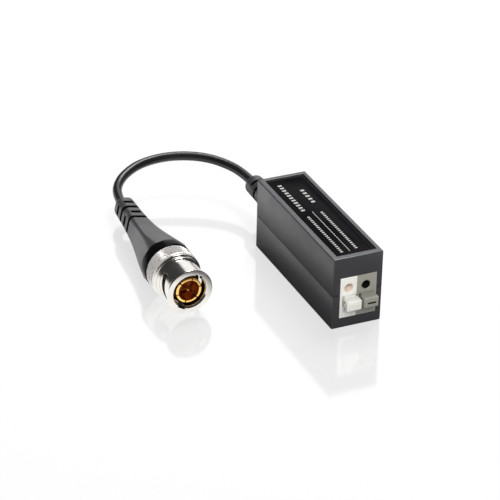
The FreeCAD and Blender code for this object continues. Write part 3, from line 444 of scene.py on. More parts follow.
def roughBetween(tree, shader, mask, low, high):
    spread = tree.nodes.new("ShaderNodeMapRange")
    spread.inputs["To Min"].default_value = low
    spread.inputs["To Max"].default_value = high
    link(tree, mask, spread.inputs["Value"])
    link(tree, spread.outputs["Result"], shader.inputs["Roughness"])


def mouldedMaterial(name, first, second, rough, grainScale, grainDepth, shaderValues=None, driftScale=90.0):
    material, tree, shader = newMaterial(name, shaderValues or {})
    vector = objectCoordinates(tree)
    mask = shadedBy(tree, shader, vector, first, second, driftScale)
    roughBetween(tree, shader, mask, *rough)
    grain = place(tree, mouldGrain, {"Scale": grainScale, "Depth": grainDepth})
    link(tree, vector, grain.inputs["Vector"])
    link(tree, grain.outputs["Normal"], shader.inputs["Normal"])
    return material


def turnedMaterial(name, first, second, rough, lineScale, lineDepth, metallic=1.0):
    material, tree, shader = newMaterial(name, {"Metallic": metallic})
    vector = objectCoordinates(tree, plug["front"], plug["turn"])
    shadedBy(tree, shader, vector, first, second, 400.0)
    lines = place(tree, turnedLines, {"Scale": lineScale, "Depth": lineDepth})
    link(tree, vector, lines.inputs["Vector"])
    link(tree, lines.outputs["Normal"], shader.inputs["Normal"])
    roughBetween(tree, shader, lines.outputs["Mask"], *rough)
    return material


def paintGrooveShade(material):
    # painted shade in the pressed lines, whose depth the mesh gives as an attribute
    tree = material.node_tree
    shader = tree.nodes["Principled BSDF"]
    plain = shader.inputs["Base Color"].links[0].from_socket
    lines = tree.nodes.new("ShaderNodeAttribute")
    lines.attribute_name = "groove"
    choose = tree.nodes.new("ShaderNodeMix")
    choose.data_type = "RGBA"
    choose.inputs[7].default_value = rgba((0.16, 0.14, 0.13))
    link(tree, mathNode(tree, "POWER", lines.outputs["Fac"], 2.5), choose.inputs["Factor"])
    link(tree, plain, choose.inputs[6])
    link(tree, choose.outputs[2], shader.inputs["Base Color"])


mouldedFinishes = {
    # the two shades it drifts between, least and most roughness, scale and depth of the grain,
    # then the shader's own values and the scale of the drift
    "caseCharcoal": ((0.046, 0.046, 0.05), (0.04, 0.04, 0.044), (0.32, 0.4), 5000.0, 0.000004),
    "labelGloss": (
        (0.005, 0.005, 0.006), (0.009, 0.008, 0.008), (0.2, 0.3), 2500.0, 0.0000006,
        {"Specular IOR Level": 0.004}, 60.0),
    "labelPrint": ((0.4, 0.4, 0.39), (0.32, 0.32, 0.31), (0.4, 0.5), 6000.0, 0.000001),
    "whiteNylon": (
        (0.93, 0.92, 0.87), (0.9, 0.885, 0.83), (0.28, 0.36), 3500.0, 0.000003,
        {"Subsurface Weight": 0.12, "Subsurface Radius": (1.0, 0.8, 0.5), "Subsurface Scale": 0.0006}),
    "greyNylon": ((0.36, 0.355, 0.31), (0.33, 0.325, 0.28), (0.28, 0.36), 3500.0, 0.000003),
    "bootRubber": ((0.04, 0.04, 0.043), (0.033, 0.033, 0.036), (0.38, 0.46), 4200.0, 0.000006),
    "collarGloss": (
        (0.003, 0.003, 0.003), (0.005, 0.005, 0.005), (0.22, 0.3), 2500.0, 0.000001,
        {"Specular IOR Level": 0.05}),
    "leadJacket": (
        (0.008, 0.008, 0.009), (0.013, 0.013, 0.014), (0.3, 0.38), 3200.0, 0.000002,
        {"Specular IOR Level": 0.4}),
    "brownInsulator": ((0.34, 0.085, 0.008), (0.28, 0.062, 0.006), (0.45, 0.55), 4000.0, 0.000003),
    # dark red rubber, darkened further by painted shade deep in the plug
    "shadedGasketRubber": ((0.1, 0.022, 0.012), (0.07, 0.016, 0.01), (0.5, 0.6), 5000.0, 0.000006),
    "boardLaminate": (
        (0.016, 0.13, 0.045), (0.02, 0.17, 0.06), (0.3, 0.42), 3000.0, 0.000004, {"Coat Weight": 0.3}),
    "ferrite": ((0.05, 0.05, 0.055), (0.035, 0.035, 0.04), (0.55, 0.7), 4500.0, 0.000015),
    "enamelledCopper": (
        (0.62, 0.22, 0.07), (0.5, 0.16, 0.05), (0.18, 0.28), 3000.0, 0.000002, {"Metallic": 0.9}),
    "capacitorCoat": ((0.7, 0.27, 0.03), (0.62, 0.22, 0.025), (0.24, 0.36), 1500.0, 0.00001),
    "resistorCoat": ((0.55, 0.4, 0.24), (0.48, 0.34, 0.2), (0.3, 0.42), 1800.0, 0.000006),
    "springSteel": (
        (0.56, 0.55, 0.53), (0.46, 0.45, 0.43), (0.24, 0.4), 6000.0, 0.000002, {"Metallic": 1.0}),
    "tinnedMetal": (
        (0.72, 0.71, 0.69), (0.6, 0.59, 0.57), (0.2, 0.34), 5000.0, 0.000003, {"Metallic": 1.0}),
    "deepShade": (
        (0.03, 0.01, 0.006), (0.02, 0.007, 0.004), (0.5, 0.6), 4200.0, 0.000001, {"Specular IOR Level": 0.2}),
    "whiteShade": ((0.98, 0.86, 0.74), (0.94, 0.82, 0.7), (0.4, 0.5), 3500.0, 0.000003),
    "rubberShade": (
        (0.006, 0.006, 0.006), (0.004, 0.004, 0.004), (0.6, 0.7), 4200.0, 0.000003,
        {"Specular IOR Level": 0.1}),
    "greyShade": ((0.012, 0.012, 0.011), (0.009, 0.009, 0.008), (0.4, 0.5), 3500.0, 0.000003),
}
turnedFinishes = {
    # the two shades, least and most roughness, scale and depth of the tool lines, and how metallic
    "brightNickel": ((0.7, 0.68, 0.645), (0.65, 0.63, 0.59), (0.16, 0.24), 6000.0, 0.0000006),
    "knurledNickel": ((0.86, 0.84, 0.81), (0.8, 0.78, 0.75), (0.24, 0.32), 6000.0, 0.0000006, 0.55),
    "boreShade": ((0.16, 0.07, 0.04), (0.12, 0.05, 0.03), (0.3, 0.4), 6000.0, 0.000001),
    "goldPlate": ((0.95, 0.62, 0.2), (0.88, 0.52, 0.14), (0.16, 0.26), 6000.0, 0.000001),
    "dullGold": ((0.62, 0.3, 0.1), (0.5, 0.22, 0.07), (0.4, 0.5), 6000.0, 0.000001),
}
finishes = {name: mouldedMaterial(name, *values) for name, values in mouldedFinishes.items()}
finishes.update({name: turnedMaterial(name, *values) for name, values in turnedFinishes.items()})
paintGrooveShade(finishes["knurledNickel"])
print("materials ready:", len(finishes))


# Case: two halves that meet at a fine seam, with a sunk label on top

case = {
    "halfWidth": 8.0,
    "halfLength": 26.9,
    "top": 23.2,
    "split": 11.0,
    "edge": 0.38,
    "seam": 0.18,
    "seamGap": 0.05,
    "rebate": 0.85,
    "wall": 1.5,
    "tongueTop": 12.3,
    "panelLow": (-6.2, -24.95),
    "panelHigh": (6.6, 25.3),
    "panelFloor": 22.25,
    "panelCorner": 0.4,
    "panelRim": 0.1,
    "window": ((-5.6, -28.0, 3.25), (6.25, -24.9, 16.65)),
    "glandHole": 3.05,
}


def roundedBlock(low, high, seam):
    # outer block of one half: rounded at its closed end and uprights, with a fine chamfer at the seam
    bm = bmesh.new()
    addBox(bm, low, high)
    rounded = [e for e in bm.edges if not all(abs(v.co.z - seam) < 1e-4 for v in e.verts)]
    bevelEdges(bm, rounded, case["edge"], 5)
    rim = edgesWhere(bm, lambda co: abs(co.z - seam) < 1e-4)
    bevelEdges(bm, rim, case["seam"], 2)
    bm.normal_update()
    return bm


def inner(inset, low, high):
    halfX, halfY = case["halfWidth"] - inset, case["halfLength"] - inset
    return boxCutter((-halfX, -halfY, low), (halfX, halfY, high))


def glandHole():
    radius = case["glandHole"]
    return spunCutter([(0, 25), (radius, 25), (radius, 29), (0, 29)], 48, glandPlace)


def sinkFace(bm, face, depth):
    # moves a face along Z with new walls round it
    made = bmesh.ops.extrude_face_region(bm, geom=[face])
    if face.is_valid:
        bmesh.ops.delete(bm, geom=[face], context="FACES_ONLY")
    bottom = [item for item in made["geom"] if isinstance(item, bmesh.types.BMFace)][0]
    bmesh.ops.translate(bm, vec=(0, 0, depth), verts=bottom.verts)
    return bottom


def largestFlat(bm, height, normal):
    flat = facesWhere(bm, lambda c, n: abs(c.z - height) < 1e-3 and n.z * normal > 0.99)
    return max(flat, key=lambda f: f.calc_area())


def makeUpperHousing():
    seam = case["split"] + case["seamGap"]
    low = (-case["halfWidth"], -case["halfLength"], seam)
    high = (case["halfWidth"], case["halfLength"], case["top"])
    bm = roundedBlock(low, high, seam)
    # the label's recess
    top = largestFlat(bm, case["top"], 1)
    bmesh.ops.inset_region(bm, faces=[top], thickness=1.0, use_even_offset=True)
    lowX, lowY = case["panelLow"]
    highX, highY = case["panelHigh"]
    for vert in top.verts:
        vert.co.x = lowX if vert.co.x < 0 else highX
        vert.co.y = lowY if vert.co.y < 0 else highY
    floor = sinkFace(bm, top, case["panelFloor"] - case["top"])
    corners = [
        e for v in floor.verts for e in v.link_edges if abs(e.verts[0].co.z - e.verts[1].co.z) > 0.3
    ]
    bevelEdges(bm, corners, case["panelCorner"], 4)
    rim = edgesWhere(bm, lambda co: (
        abs(co.z - case["top"]) < 1e-3
        and lowX - 0.01 < co.x < highX + 0.01 and lowY - 0.01 < co.y < highY + 0.01
    ))
    bevelEdges(bm, rim, case["panelRim"], 2)
    bmesh.ops.recalc_face_normals(bm, faces=bm.faces)
    rebate = inner(case["rebate"], case["split"] - 1, case["tongueTop"] + 0.05)
    hollow = inner(case["wall"], case["split"] - 1, case["panelFloor"] - case["wall"])
    bm = carve(bm, [rebate, hollow, boxCutter(*case["window"]), glandHole()])
    return finishPiece(bm, "upperShell", "balun", ["upper_housing"], "caseCharcoal")


def makeLowerHousing():
    low = (-case["halfWidth"], -case["halfLength"], 0)
    seam = case["split"] - case["seamGap"]
    high = (case["halfWidth"], case["halfLength"], seam)
    bm = roundedBlock(low, high, seam)
    bm = carve(bm, [inner(case["rebate"], case["split"] - 1, case["tongueTop"])], "UNION")
    hollow = inner(case["wall"], case["wall"], case["tongueTop"] + 1)
    bm = carve(bm, [hollow, boxCutter(*case["window"]), glandHole()])
    return finishPiece(bm, "lowerShell", "balun", ["lower_housing"], "caseCharcoal")


label = {
    "low": (-6.1, -24.85, 22.25),
    "high": (6.2, 25.2, 22.45),
    "corner": 0.35,
    "edge": 0.05,
    "sunk": 0.02,
    "raised": 0.012,
    "lines": [
        # low x, high x, low y, high y, pitch and length of the blocks in each printed row
        (-0.7, -0.5, -22.1, 3.4, 0, 0),
        (-3.5, -2.7, -22.1, 2.5, 1.12, 0.62),
        (1.5, 2.3, -21.4, 3.2, 1.1, 0.6),
        (-3.5, -2.2, 4.7, 23.2, 1.66, 0.85),
        (1.7, 2.95, 8.6, 18.8, 1.9, 0.95),
    ],
}


def makeLabel():
    bm = bmesh.new()
    addBox(bm, label["low"], label["high"])
    upright = [e for e in bm.edges if abs(e.verts[0].co.z - e.verts[1].co.z) > 0.1]
    bevelEdges(bm, upright, label["corner"], 4)
    top = edgesWhere(bm, lambda co: abs(co.z - label["high"][2]) < 1e-4)
    bevelEdges(bm, top, label["edge"], 2)
    finishPiece(bm, "labelPlate", "balun", ["label_panel"], "labelGloss")
    bm = bmesh.new()
    low, high = label["high"][2] - label["sunk"], label["high"][2] + label["raised"]
    for lowX, highX, lowY, highY, pitch, length in label["lines"]:
        if not pitch:
            addBox(bm, (lowX, lowY, low), (highX, highY, high))
            continue
        for index in range(int((highY - lowY) / pitch)):
            at = lowY + index * pitch
            addBox(bm, (lowX, at, low), (highX, at + length, high))
    finishPiece(bm, "labelLines", "balun", [], "labelPrint")


makeUpperHousing()
makeLowerHousing()
makeLabel()
print("case made")


# Wire terminal: two open modules side by side, an end plate and two buttons

terminal = {
    "front": -26.9,
    "depth": 12.5,
    "low": 3.3,
    "high": 16.6,
    "modules": {"white": (-5.55, -0.2, -2.65), "grey": (-0.2, 5.15, 2.82)},
    "plate": (5.15, 6.2),
    "sideWall": 0.8,
    "wireHeight": 12.9,
    "wireRadius": 1.35,
    "wireMouth": 0.3,
    "wireDepth": 4.1,
    # start and end behind the front, low and high
    "hollows": [(-1, 1.3, 7.1, 10.5), (1.2, 11.5, 4.3, 11.2), (4.0, 11.5, 11.0, 15.6)],
    # half width, start and end of the hole under each contact's pin
    "pinHole": (0.55, -16.85, -16.15),
    "soft": 0.12,
}


def makeModule(name, left, right, centre, finish):
    front, back = terminal["front"], terminal["front"] + terminal["depth"]
    low, high = terminal["low"], terminal["high"]
    bm = bmesh.new()
    addBox(bm, (left, front, low), (right, back, high))
    bevelEdges(bm, bm.edges[:], terminal["soft"], 3)
    inward = Matrix.Rotation(math.radians(-90), 4, "X")
    toFront = Matrix.Translation((centre, front, terminal["wireHeight"])) @ inward
    radius, depth = terminal["wireRadius"], terminal["wireDepth"]
    wide = radius + terminal["wireMouth"]
    hole = [(0, -1), (wide, -1), (wide, 0), (radius, terminal["wireMouth"]), (radius, depth), (0, depth)]
    cutters = [spunCutter(hole, 48, toFront)]
    side = left + terminal["sideWall"]
    for start, end, bottom, top in terminal["hollows"]:
        cutters.append(boxCutter((side, front + start, bottom), (right + 1, front + end, top)))
    half, start, end = terminal["pinHole"]
    cutters.append(boxCutter((centre - half, start, low - 1), (centre + half, end, low + 1.1)))
    bm = carve(bm, cutters)
    # the wire hole's own wall takes the second material: painted shade, black in the grey module, and painted
    # warm bounce light, beige in the white one
    for face in bm.faces:
        middle = face.calc_center_median()
        fromAxis = math.hypot(middle.x - centre, middle.z - terminal["wireHeight"])
        if fromAxis < radius + 0.02 and middle.y > front + 0.1:
            face.material_index = 1
    return finishPiece(
        bm, name + "Module", "balun", ["terminal_" + name], finish, second=name + "Shade")


def makeEndPlate():
    front, back = terminal["front"], terminal["front"] + terminal["depth"]
    bm = bmesh.new()
    addBox(bm, (terminal["plate"][0], front, terminal["low"]), (terminal["plate"][1], back, terminal["high"]))
    bevelEdges(bm, bm.edges[:], terminal["soft"], 3)
    return finishPiece(bm, "endPlate", "balun", ["terminal_end_plate"], "greyNylon")


button = {
    "width": 4.95,
    "head": (-30.5, -28.1),
    "low": 7.2,
    "high": 10.4,
    "round": 0.28,
    "stem": (-1.5, 2.2),
    "slotSide": 0.28,
    "slotHeight": 8.7,
    "slotSize": (2.7, 0.55),
    "slotDepth": 0.6,
    "leftGap": 0.25,
    "notches": [(9.1, 9.95), (7.4, 8.0)],
    "notchSize": (0.6, 0.7),
    # side view of the stem, with a shoulder and a wedge nose
    "stemOutline": [
        (-28.2, 7.35), (-25.6, 7.35), (-25.6, 6.5), (-24.2, 6.5), (-21.3, 7.35), (-19.7, 8.7),
        (-19.7, 9.9), (-21.3, 10.25), (-24.2, 11.0), (-25.6, 11.0), (-25.6, 10.25), (-28.2, 10.25),
    ],
    "stemEdge": 0.07,
}


def makeButton(name, centre, finish):
    front, back = button["head"]
    half = button["width"] / 2
    headLeft = centre - half + button["leftGap"]
    bm = bmesh.new()
    addBox(bm, (headLeft, front, button["low"]), (centre + half, back, button["high"]))
    outer = [e for e in bm.edges if not all(abs(v.co.y - back) < 1e-4 for v in e.verts)]
    bevelEdges(bm, outer, button["round"], 4)
    slotX = centre + button["slotSide"]
    wide, tall = button["slotSize"]
    slotCutter = boxCutter(
        (slotX - wide / 2, front - 1, button["slotHeight"] - tall / 2),
        (slotX + wide / 2, front + button["slotDepth"], button["slotHeight"] + tall / 2),
    )
    # two small notches in the left side, next to the window
    reach, length = button["notchSize"]
    notches = [
        boxCutter((headLeft - 1, back - length, low), (headLeft + reach, back + 1, high))
        for low, high in button["notches"]
    ]
    bm = carve(bm, [slotCutter] + notches)
    # painted shade in the grey head's driver slot and in the notches beside the window
    for face in bm.faces:
        middle = face.calc_center_median()
        inSlot = (
            name == "grey" and front + 0.05 < middle.y < front + button["slotDepth"] + 0.01
            and abs(middle.x - slotX) < wide / 2 + 0.01
            and abs(middle.z - button["slotHeight"]) < tall / 2 + 0.01
        )
        inNotch = headLeft + 0.02 < middle.x < headLeft + reach + 0.02 and any(
            low - 0.01 < middle.z < high + 0.01 and middle.y > back - length - 0.02
            for low, high in button["notches"]
        )
        if inSlot or inNotch:
            face.material_index = 1
    # the stem is its side view given a width
    left, right = centre + button["stem"][0], centre + button["stem"][1]
    stem = bmesh.new()
    side = stem.faces.new([stem.verts.new((left, along, up)) for along, up in button["stemOutline"]])
    made = bmesh.ops.extrude_face_region(stem, geom=[side], use_keep_orig=True)
    moved = [item for item in made["geom"] if isinstance(item, bmesh.types.BMVert)]
    bmesh.ops.translate(stem, vec=(right - left, 0, 0), verts=moved)
    bmesh.ops.recalc_face_normals(stem, faces=stem.faces)
    bevelEdges(stem, stem.edges[:], button["stemEdge"], 2)
    both = bpy.data.meshes.new("stem")
    stem.to_mesh(both)
    stem.free()
    bm.from_mesh(both)
    bpy.data.meshes.remove(both)
    return finishPiece(
        bm, name + "Button", name + "_button", [name + "_button"], finish, second="greyShade")


for name, (left, right, centre) in terminal["modules"].items():
    makeModule(name, left, right, centre, name + "Nylon")
    makeButton(name, centre, name + "Nylon")
makeEndPlate()
print("wire terminal made")


# Gland: slotted strain relief that holds the lead in the back wall

def shadeSlots(bm, places, width):
    # painted shade, as the second material, on the walls and floors of the slots at these heights
    bm.normal_update()
    for face in bm.faces:
        height = face.calc_center_median().z
        for at in places:
            onWall = abs(abs(height - at) - width) < 0.01 and abs(face.normal.z) > 0.9
            inside = max(abs(v.co.z - at) for v in face.verts) < width + 0.01
            if onWall or (inside and abs(face.normal.z) < 0.5):
                face.material_index = 1


gland = {
    "profile": [
        (0, 23.75), (4.3, 23.75), (4.3, 25.35), (3.0, 25.35), (3.0, 26.95), (3.95, 26.95),
        (3.75, 31.0), (3.55, 35.0), (3.35, 39.0), (3.27, 43.0), (3.21, 46.1), (3.12, 46.35), (2.83, 46.5),
        (1.62, 46.5), (1.62, 45.5), (0, 45.5),
    ],
    "firstSlot": 42.2,
    "slotPitch": 3.3,
    "slotWidth": 1.15,
    "web": 1.75,
}


def makeGland():
    bm = bmesh.new()
    spinProfile(bm, gland["profile"], 72)
    cutters = []
    for index in range(4):
        low = gland["firstSlot"] - index * gland["slotPitch"]
        high = low + gland["slotWidth"]
        for side in (1, -1):
            near, far = sorted((side * gland["web"], side * 6))
            if index % 2 == 0:
                cutters.append(boxCutter((-6, near, low), (6, far, high)))
            else:
                cutters.append(boxCutter((near, -6, low), (far, 6, high)))
    bm = carve(bm, cutters)
    half = gland["slotWidth"] / 2
    shadeSlots(bm, [gland["firstSlot"] - index * gland["slotPitch"] + half for index in range(4)], half)
    bm = softened(bm, 0.08, 2, 45)
    return finishPiece(
        bm, "cableGland", "balun", ["cable_gland"], "bootRubber", glandPlace,
        second="rubberShade")


makeGland()
print("gland made")


# Plug: boot, collar ring, coupling nut, contacts

boot = {
    # distance behind the plug's front, half width, corner radius, lean to the left
    "sections": [
        (20.2, 6.55, 3.4, 0.0), (24.0, 5.75, 2.2, 0.0), (28.5, 4.9, 1.4, -0.06), (33.0, 4.18, 1.1, -0.21),
        (38.0, 3.6, 1.1, -0.43), (44.0, 3.3, 1.5, -0.78), (50.0, 3.2, 2.0, -1.15), (57.9, 3.05, 2.2, -1.65),
    ],
    "endRound": 0.8,
    "roll": 12.0,
    # distance behind the plug's front, lean to the left
    "ringSlots": [(43.9, -0.77), (50.8, -1.2)],
    "sideSlots": [(47.3, -0.98), (54.2, -1.42)],
    "slotWidth": 1.5,
    "ringFloor": 2.45,
    "sideFloor": 2.35,
    "sideHalf": 1.7,
    # radius and distance behind the plug's front
    "bore": [
        (0, 20.1), (5.0, 20.1), (5.0, 23.5), (4.2, 23.5), (4.2, 24.0), (3.3, 24.0), (3.3, 34.6), (0, 34.6),
    ],
}


def roundedSquare(bm, half, corner, height, segments=8):
    # one flat face whose corners are rounded
    verts = bmesh.ops.create_grid(bm, x_segments=1, y_segments=1, size=half)["verts"]
    bmesh.ops.translate(bm, vec=(0, 0, height), verts=verts)
    bmesh.ops.bevel(
        bm, geom=verts, offset=corner, affect="VERTICES", segments=segments, profile=0.5, material=-1,
    )
    return bm.faces[:][0]


def bootSections(steps=5):
    # a smooth curve through the given sections, and a rounded end
    given = boot["sections"]
    out = []
    for index in range(len(given) - 1):
        before, here, after, beyond = [
            Vector(given[min(max(index + shift, 0), len(given) - 1)]) for shift in (-1, 0, 1, 2)
        ]
        for step in range(steps):
            t = step / steps
            out.append(0.5 * (
                2 * here + (after - before) * t + (2 * before - 5 * here + 4 * after - beyond) * t * t
                + (3 * here - before - 3 * after + beyond) * t ** 3
            ))
    last, size = Vector(given[-1]), boot["endRound"]
    out = [section for section in out if section[0] < last[0] - size - 0.2]
    for degrees in (0, 20, 40, 60, 80):
        turn = math.radians(degrees)
        drop = size * (1 - math.cos(turn))
        out.append(last - Vector((size * (1 - math.sin(turn)), drop, drop * 0.8, 0)))
    return out


def reshape(verts, oldHalf, oldCorner, half, corner, height):
    # moves one section's points onto the next section's rounded square
    for vert in verts:
        side = Vector((math.copysign(1, vert.co.x), math.copysign(1, vert.co.y), 0))
        arm = Vector((vert.co.x, vert.co.y, 0)) - side * (oldHalf - oldCorner)
        vert.co = side * (half - corner) + arm * (corner / oldCorner) + Vector((0, 0, height))


def makeBoot():
    sections = bootSections()
    bm = bmesh.new()
    start, half, corner, lean = sections[0]
    face = roundedSquare(bm, half, corner, start)
    for height, nextHalf, nextCorner, lean in sections[1:]:
        made = bmesh.ops.extrude_face_region(bm, geom=[face])
        moved = [item for item in made["geom"] if isinstance(item, bmesh.types.BMVert)]
        reshape(moved, half, corner, nextHalf, nextCorner, height)
        face = [item for item in made["geom"] if isinstance(item, bmesh.types.BMFace)][0]
        half, corner = nextHalf, nextCorner
    bmesh.ops.recalc_face_normals(bm, faces=bm.faces)
    bmesh.ops.rotate(bm, matrix=Matrix.Rotation(math.radians(boot["roll"]), 3, "Z"), verts=bm.verts)
    for height, half, corner, lean in sections:
        level = [v for v in bm.verts if abs(v.co.z - height) < 1e-4]
        bmesh.ops.translate(bm, vec=(lean, 0, 0), verts=level)
    width = boot["slotWidth"] / 2
    cutters = []
    for at, lean in boot["ringSlots"]:
        floor = boot["ringFloor"]
        ring = [(floor, at - width), (7, at - width), (7, at + width), (floor, at + width)]
        cutters.append(spunCutter(ring, 64, Matrix.Translation((lean, 0, 0))))
    turn = Matrix.Rotation(math.radians(boot["roll"]), 4, "Z")
    for at, lean in boot["sideSlots"]:
        low, wide = boot["sideFloor"], boot["sideHalf"]
        for side in range(4):
            spun = Matrix.Translation((lean, 0, 0)) @ turn @ Matrix.Rotation(math.radians(90 * side), 4, "Z")
            cutters.append(boxCutter((low, -wide, at - width), (7, wide, at + width), spun))
    cutters.append(spunCutter(boot["bore"], 64))
    bm = carve(bm, cutters)
    shadeSlots(bm, [at for at, lean in boot["ringSlots"] + boot["sideSlots"]], width)
    bm = softened(bm, 0.1, 3, 45)
    return finishPiece(
        bm, "cableBoot", "balun", ["cable_boot"], "bootRubber", plugPlace,
        second="rubberShade")


collar = {
    "profile": [
        (4.25, 16.6), (7.4, 16.6), (7.55, 16.65), (7.7, 16.8), (7.75, 16.95), (7.75, 19.85), (7.7, 20.0),
        (7.55, 20.15), (7.4, 20.2), (5.0, 20.2), (5.0, 23.5), (4.25, 23.5),
    ],
}


def makeCollar():
    bm = bmesh.new()
    spinProfile(bm, collar["profile"], 128)
    return finishPiece(bm, "collarRing", "balun", ["collar_ring"], "collarGloss", plugPlace, 35)


nut = {
    # radius and distance behind the front, from the mouth round the outside to the bore
    "profile": [
        (5.45, 1.0), (6.85, 1.0), (7.02, 1.05), (7.12, 1.15), (7.15, 1.28), (7.15, 1.68), (7.1, 1.8),
        (6.9, 1.9), (6.7, 1.98), (6.6, 2.1), (6.6, 8.65), (6.67, 8.78), (7.0, 9.02), (7.1, 9.15),
        (7.1, 9.68), (7.05, 9.78), (6.92, 9.86), (6.9, 10.16), (7.25, 10.26), (7.44, 10.36), (7.5, 10.48),
        (7.5, 10.68), (7.44, 10.8), (7.15, 10.88), (7.05, 11.1), (7.05, 16.3), (6.45, 16.3), (6.45, 14.85),
        (6.95, 14.85), (6.95, 13.95), (6.45, 13.95), (6.45, 8.8), (4.95, 8.8), (4.95, 1.75), (5.1, 1.48),
        (5.25, 1.2),
    ],
    "keyAngle": 30.0,
    "keySize": (2.5, 0.75, 3.9),
    "camWidth": 2.1,
    "camStart": 3.0,
    "camRise": 3.8,
    "camTurn": 93.0,
    "camOpenAt": 30.0,
    "latch": 1.25,
    "knurlCount": 54,
    "knurlRows": 36,
    "knurlDepth": 0.25,
    "knurlStart": 11.1,
    "knurlEnd": 16.3,
    "knurlRadius": 7.75,
    "knurlBevel": 0.3,
}


def camCutter(depth, opensAt, steps=36):
    # a rectangle wound back round the nut
    share = 1 - opensAt / nut["camTurn"]
    low = nut["camStart"] + (1 - share) * nut["camRise"] - nut["camWidth"] / 2
    bm = bmesh.new()
    corners = [(4.5, low), (depth, low), (depth, low + nut["camWidth"]), (4.5, low + nut["camWidth"])]
    face = bm.faces.new([bm.verts.new((radius, 0, height)) for radius, height in corners])
    turn = Matrix.Rotation(math.radians(90 + nut["keyAngle"] + opensAt), 3, "Z")
    bmesh.ops.rotate(bm, matrix=turn, verts=bm.verts)
    bmesh.ops.spin(
        bm, geom=[face] + face.edges[:] + face.verts[:], cent=(0, 0, 0), axis=(0, 0, 1),
        dvec=(0, 0, nut["camRise"] * share / steps), angle=math.radians(nut["camTurn"] * share), steps=steps,
    )
    bmesh.ops.recalc_face_normals(bm, faces=bm.faces)
    return bm


def makeNutShell():
    bm = bmesh.new()
    spinProfile(bm, nut["profile"], 144)
    wide, deep, long = nut["keySize"]
    cutters = []
    for half in (0, 180):
        key = Matrix.Rotation(math.radians(90 + nut["keyAngle"] + half), 4, "Z")
        cutters.append(boxCutter((3, -wide / 2, -1), (4.95 + deep, wide / 2, long), key))
        for depth, opensAt in ((4.95 + deep, 0.0), (8.0, nut["camOpenAt"])):
            cam = camCutter(depth, opensAt)
            bmesh.ops.rotate(cam, matrix=Matrix.Rotation(math.radians(half), 3, "Z"), verts=cam.verts)
            cutters.append(cam)
        hole = (
            Matrix.Rotation(math.radians(90 + nut["keyAngle"] + nut["camTurn"] + half), 4, "Z")
            @ Matrix.Translation((0, 0, nut["camStart"] + nut["camRise"]))
            @ Matrix.Rotation(math.radians(90), 4, "Y")
        )
        cutters.append(spunCutter([(0, 4), (nut["latch"], 4), (nut["latch"], 9), (0, 9)], 48, hole))
    bm = carve(bm, cutters)
    # painted shade on the bore inside the nut, as the second material
    for face in bm.faces:
        middle = face.calc_center_median()
        if math.hypot(middle.x, middle.y) < 5.02 and middle.z > 1.8:
            face.material_index = 1
    bm = softened(bm, 0.06, 2, 60)
    return finishPiece(
        bm, "nutShell", "coupling_nut", ["coupling_nut"], "brightNickel", plugPlace,
        second="boreShade", turned=6.6)


def makeNutGrip():
    # a band whose outside is pressed into diamonds
    rows, count = nut["knurlRows"], nut["knurlCount"]
    start, end, bevel = nut["knurlStart"], nut["knurlEnd"], nut["knurlBevel"]
    bm = bmesh.new()
    outside = []
    for row in range(rows + 1):
        height = start + (end - start) * row / rows
        outside.append((nut["knurlRadius"] - max(0, start + bevel - height, height - end + bevel), height))
    spinProfile(bm, [(7.0, start)] + outside + [(7.0, end)], count * 6)
    pitch = 6 * (end - start) / rows
    groove = bm.verts.layers.float.new("groove")
    for vert in bm.verts:
        radius = math.hypot(vert.co.x, vert.co.y)
        if radius < 7.05:
            continue
        turn = math.atan2(vert.co.y, vert.co.x) / math.tau * count
        along = (vert.co.z - start) / pitch
        ridge = min(abs((value % 1.0) * 2 - 1) for value in (turn + along, turn - along))
        fade = min(1, max(0, (vert.co.z - start - 0.15) / 0.3), max(0, (end - 0.1 - vert.co.z) / 0.2))
        vert[groove] = (1 - ridge) * fade
        inward = nut["knurlDepth"] * vert[groove] / radius
        vert.co.x -= vert.co.x * inward
        vert.co.y -= vert.co.y * inward
    bmesh.ops.recalc_face_normals(bm, faces=bm.faces)
    return finishPiece(bm, "nutGrip", "coupling_nut", [], "knurledNickel", plugPlace, 25)


contact = {
    "profile": [
        (3.25, 1.98), (3.33, 1.9), (3.8, 1.9), (3.95, 1.94), (4.06, 2.02), (4.1, 2.14), (4.1, 9.4), (3.25, 9.4),
    ],
    "slots": 6,
    "slotAngle": 17.0,
    "slotWidth": 0.35,
    "slotEnd": 7.1,
}


def makeContact():
    bm = bmesh.new()
    spinProfile(bm, contact["profile"], 96)
    cutters = []
    for index in range(contact["slots"]):
        turn = Matrix.Rotation(math.radians(90 + contact["slotAngle"] + 60 * index), 4, "Z")
        half = contact["slotWidth"] / 2
        cutters.append(boxCutter((2.5, -half, 1), (5, half, contact["slotEnd"]), turn))
    bm = carve(bm, cutters)
    # painted shade on the contact's outside, deep inside the nut
    for face in bm.faces:
        middle = face.calc_center_median()
        if math.hypot(middle.x, middle.y) > 4.05 and middle.z > 2.3:
            face.material_index = 1
    bm = softened(bm, 0.03, 2, 50)
    return finishPiece(
        bm, "outerContact", "balun", ["outer_contact"], "goldPlate", plugPlace,
        second="deepShade")


# radius and distance behind the plug's front
insulatorProfile = [
    (0.68, 7.3), (0.78, 7.2), (2.9, 7.2), (3.0, 7.3), (3.05, 7.6), (3.25, 7.6), (3.25, 19.0), (1.1, 19.0),
    (1.1, 9.2), (0.68, 9.2),
]
pinProfile = [
    (0, 2.3), (0.2, 2.33), (0.36, 2.42), (0.48, 2.6), (0.56, 2.85), (0.62, 3.2), (0.68, 3.7), (0.68, 9.2),
    (1.1, 9.2), (1.1, 17.0), (0, 17.0),
]


def makeSpun(name, node, finish, points):
    bm = bmesh.new()
    spinProfile(bm, points, 64)
    return finishPiece(bm, name, "balun", [node], finish, plugPlace, 35)


plugPieces = [
    makeBoot(), makeCollar(), makeNutShell(), makeNutGrip(), makeContact(),
    makeSpun("contactInsulator", "insulator", "brownInsulator", insulatorProfile),
    makeSpun("centrePin", "centre_pin", "dullGold", pinProfile),
]
print("plug made")


# Finishes of the pieces that stay as the frame has them

